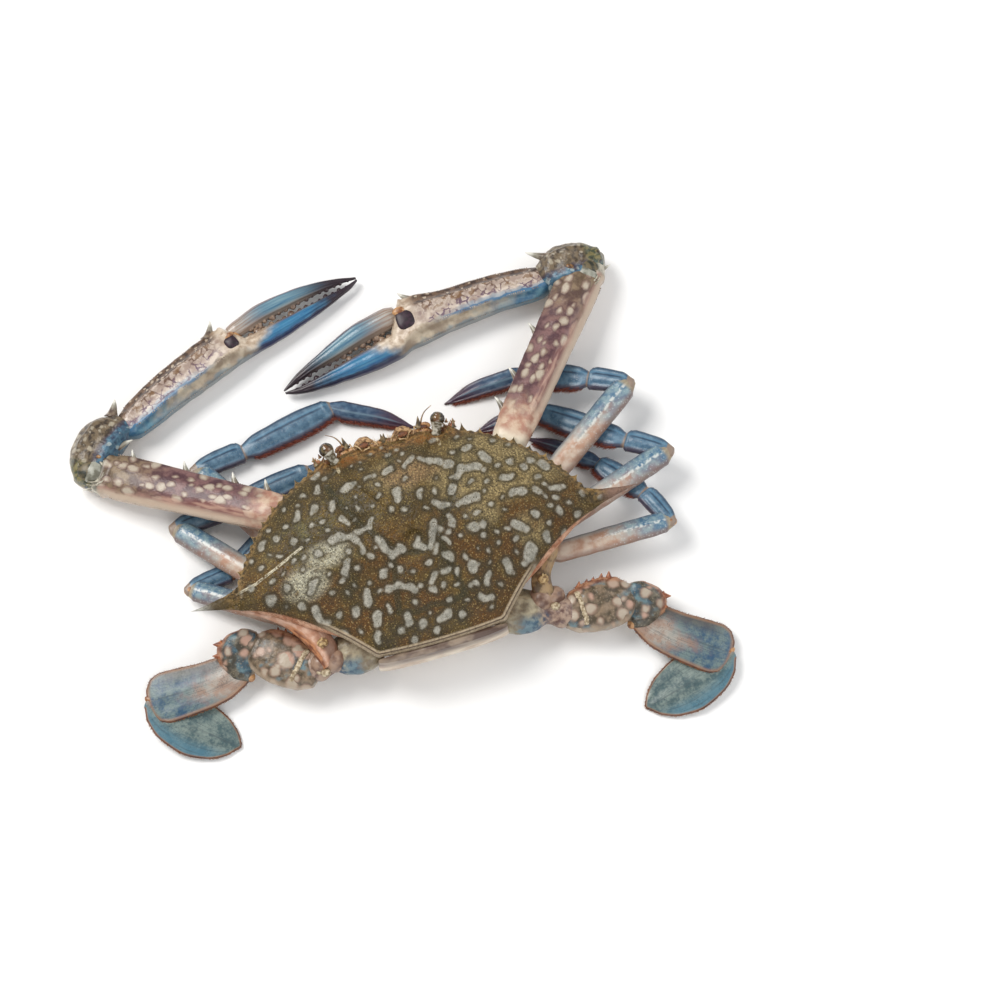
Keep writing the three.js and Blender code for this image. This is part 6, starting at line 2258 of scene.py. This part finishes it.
def grains():
    """The beads of the shell: along its ridges and margins, and scattered over the back."""
    rng = np.random.default_rng(90)
    _, roots = outline()
    centre = np.array([0, SHELL["middle"]])
    sowing = Sowing()
    up = np.array([0, 0, 1])

    def on_back(index, share, sizes):
        spot = centre + (roots[index] - centre) * share[:, None]
        z, _ = back_height(spot[:, 0], spot[:, 1], roots[index][:, 1], share)
        sowing.add(cols(spot[:, 0], spot[:, 1], z - 0.03), up, np.array([1, 0, 0]), sizes)

    count = 5200
    index = rng.integers(0, len(roots), count)
    share = rng.uniform(0.03, 0.97, count) ** 0.6
    on_back(index, share, rng.uniform(0.2, 0.34, count))
    around = np.arange(len(roots))
    front = roots[:, 1] > -8
    picks = around[front][::2]
    on_back(picks, np.full(len(picks), 0.992), rng.uniform(0.26, 0.42, len(picks)))
    crest, _ = curve_through([(x, y, 0) for x, y in CRESTS[0][2]], 60)
    edge = np.arctan2(roots[:, 1] - centre[1], roots[:, 0])
    reach = np.hypot(roots[:, 0], roots[:, 1] - centre[1])
    for mirror in SIDES.values():
        x, y = crest[:, 0] * mirror, crest[:, 1]
        heading = np.arctan2(y - centre[1], x)
        turn = (edge[None, :] - heading[:, None] + math.pi) % (2 * math.pi) - math.pi
        index = np.argmin(np.abs(turn), axis=1)
        share = np.hypot(x, y - centre[1]) / reach[index]
        on_back(index, np.minimum(share, 0.99), rng.uniform(0.2, 0.38, len(x)))
    sowing.piece("shell_grains", "bead", "grain")


# The keels that carry beads: whose they are, where round the section, and from where to where.
BEADED_KEELS = [
    ("hand", 66, 0.08, 0.9), ("hand", 112, 0.08, 0.9), ("hand", 160, 0.1, 0.82),
    ("hand", 20, 0.1, 0.9), ("arm", 172, 0.1, 0.9), ("arm", 14, 0.1, 0.92),
]


def limb_grains(claws):
    """Rows of small beads along the keels of the hands and the upper arms."""
    rng = np.random.default_rng(95)
    sowing = Sowing()
    for arm, hand, palm_rows in claws:
        keeled = {"hand": (hand, palm_rows, HAND_POWER), "arm": (arm, ROWS["claw_arm"], ARM_POWER)}
        for name, degrees, start, end in BEADED_KEELS:
            bone, profile, power = keeled[name]
            count = int((end - start) * bone.length / 0.75)
            share = np.linspace(start, end, count) + rng.uniform(-0.002, 0.002, count)
            size = eased(profile, share)
            c, s = section(np.array([math.radians(degrees)]), power)
            roots = bone.at(share, size[:, 2] + (size[:, 0] + 0.3) * c, (size[:, 1] + 0.3) * s)
            sowing.add(roots, bone.up, bone.along, rng.uniform(0.35, 0.6, count))
    sowing.piece("claw_grains", "bead", "claw_grain")


# ---- the whole crab ----

# How each finish is made. The plain ones are two close colours and the size of their clouds, then
# roughness, coat and the depth of the relief.
MAKERS = {
    "granular_shell": (shell_finish,),
    "pale_plate": (plain_finish, (206, 184, 166), (234, 224, 208), 6, 0.42, 0.1),
    "tail_plate": (tail_finish,),
    "mouth_plate": (plain_finish, (104, 70, 40), (182, 144, 98), 2, 0.5),
    "eye_stalk": (plain_finish, (96, 86, 66), (196, 192, 178), 1, 0.35, 0.2, 0.04),
    "eye_shell": (eye_finish,),
    "feeler": (plain_finish, (98, 68, 44), (186, 154, 112), 1.2, 0.45, 0.1),
    "spine_tips": (spine_finish,),
    "spinule": (plain_finish, (112, 58, 36), (178, 114, 74), 1, 0.4, 0.1, 0.05),
    "claw_teeth": (tooth_finish,),
    "hinge_pad": (plain_finish, (30, 16, 26), (52, 30, 44), 1.4, 0.42, 0, 0.04),
    # Painted shade: the dark lumps in the hollows of the brow.
    "hollow": (plain_finish, (54, 32, 20), (126, 76, 44), 1.2, 0.6),
    "nook": (plain_finish, (104, 72, 42), (192, 154, 110), 0.9, 0.5, 0.05, 0.15),
    "elbow_socket": (plain_finish, (36, 40, 30), (104, 92, 66), 1.6, 0.45, 0.1),
    "thorn": (plain_finish, (66, 54, 36), (138, 118, 84), 1.6, 0.4, 0.1),
    "pearl": (plain_finish, (100, 98, 84), (160, 160, 148), 2.4, 0.36, 0.1, 0.15),
    "brim": (plain_finish, (112, 104, 86), (182, 176, 158), 1.2, 0.36, 0.2, 0.1),
    "condyle": (plain_finish, (78, 52, 32), (146, 106, 64), 1.4, 0.34, 0.2, 0.05),
    "socket": (plain_finish, (96, 68, 56), (158, 130, 110), 4, 0.35, 0.2, 0.2),
    "gold_knob": (plain_finish, (116, 86, 50), (196, 168, 120), 0.9, 0.5, 0.05, 0.15),
    "cup": (plain_finish, (108, 66, 34), (186, 140, 92), 1.4, 0.45, 0.1, 0.12),
    "thread": (plain_finish, (158, 124, 84), (206, 178, 136), 1, 0.5),
    "flank_skin": (flank_finish,),
    "crust": (plain_finish, (136, 116, 88), (204, 190, 162), 0.9, 0.6, 0, 0.2),
    "claw_arm": (arm_finish,),
    "claw_wrist": (wrist_finish,),
    "claw_hand": (hand_finish,),
    "claw_finger": (finger_finish,),
    "walking_thigh": (thigh_finish,),
    "walking_shin": (shin_finish,),
    "walking_toe": (toe_finish,),
    "swimming_hip": (oar_hip_finish,),
    "swimming_arm": (oar_arm_finish, (74, 62, 44), (134, 114, 92), 0.72, THIGH_MARKS),
    "swimming_knee": (oar_arm_finish, (60, 56, 46), (106, 98, 82), 0.67),
    "swimming_shin": (oar_blade_finish, 0.66, (34, 74, 104), (104, 122, 122), (84, 76, 66), 1.7),
    "swimming_paddle": (oar_blade_finish, 0.12, (60, 84, 88), (122, 136, 130), (70, 116, 136), 0.9),
    "joint_skin": (plain_finish, (118, 70, 38), (188, 142, 96), 1.8, 0.4, 0.2, 0.2),
    "russet_hair": (hair_finish, (100, 48, 40), (158, 90, 74)),
    "amber_hair": (hair_finish, (104, 58, 34), (172, 118, 72)),
    "pale_hair": (hair_finish, (164, 122, 76), (226, 200, 158)),
    "grain": (plain_finish, (74, 62, 36), (128, 112, 74), 4, 0.55, 0, 0.03),
    "claw_grain": (plain_finish, (96, 76, 66), (190, 172, 156), 3, 0.35, 0.2, 0.03),
}
MADE = {}


def finish(name):
    """The finish of that name, made when it is first asked for."""
    if name not in MADE:
        maker, *values = MAKERS[name]
        MADE[name] = maker(name, *values)
    return MADE[name]


SOW = sowing_tree()
TEMPLATES = {
    "tuft": template(tuft_template("tuft", 4, 0.45, 5)),
    "bead": template(bead_template()),
    "tooth": template(tooth_template()),
}

studio()
carapace()
breastplate()
tail_flap()
claws = []
for side in SIDES:
    mouth_plate(side)
    eyes(side)
    feelers(side)
    claws.append(claw(side))
    for rank in WALKING_GIRTH:
        leg_fringes(side, f"leg{rank}", *walking_leg(side, rank))
    oar_fringes(side, swimming_leg(side))
    flank_skin(side)
joint_skins()
head_hair()
grains()
limb_grains(claws)

for spare in TEMPLATES.values():
    shape = spare.data
    bpy.data.objects.remove(spare)
    bpy.data.meshes.remove(shape)
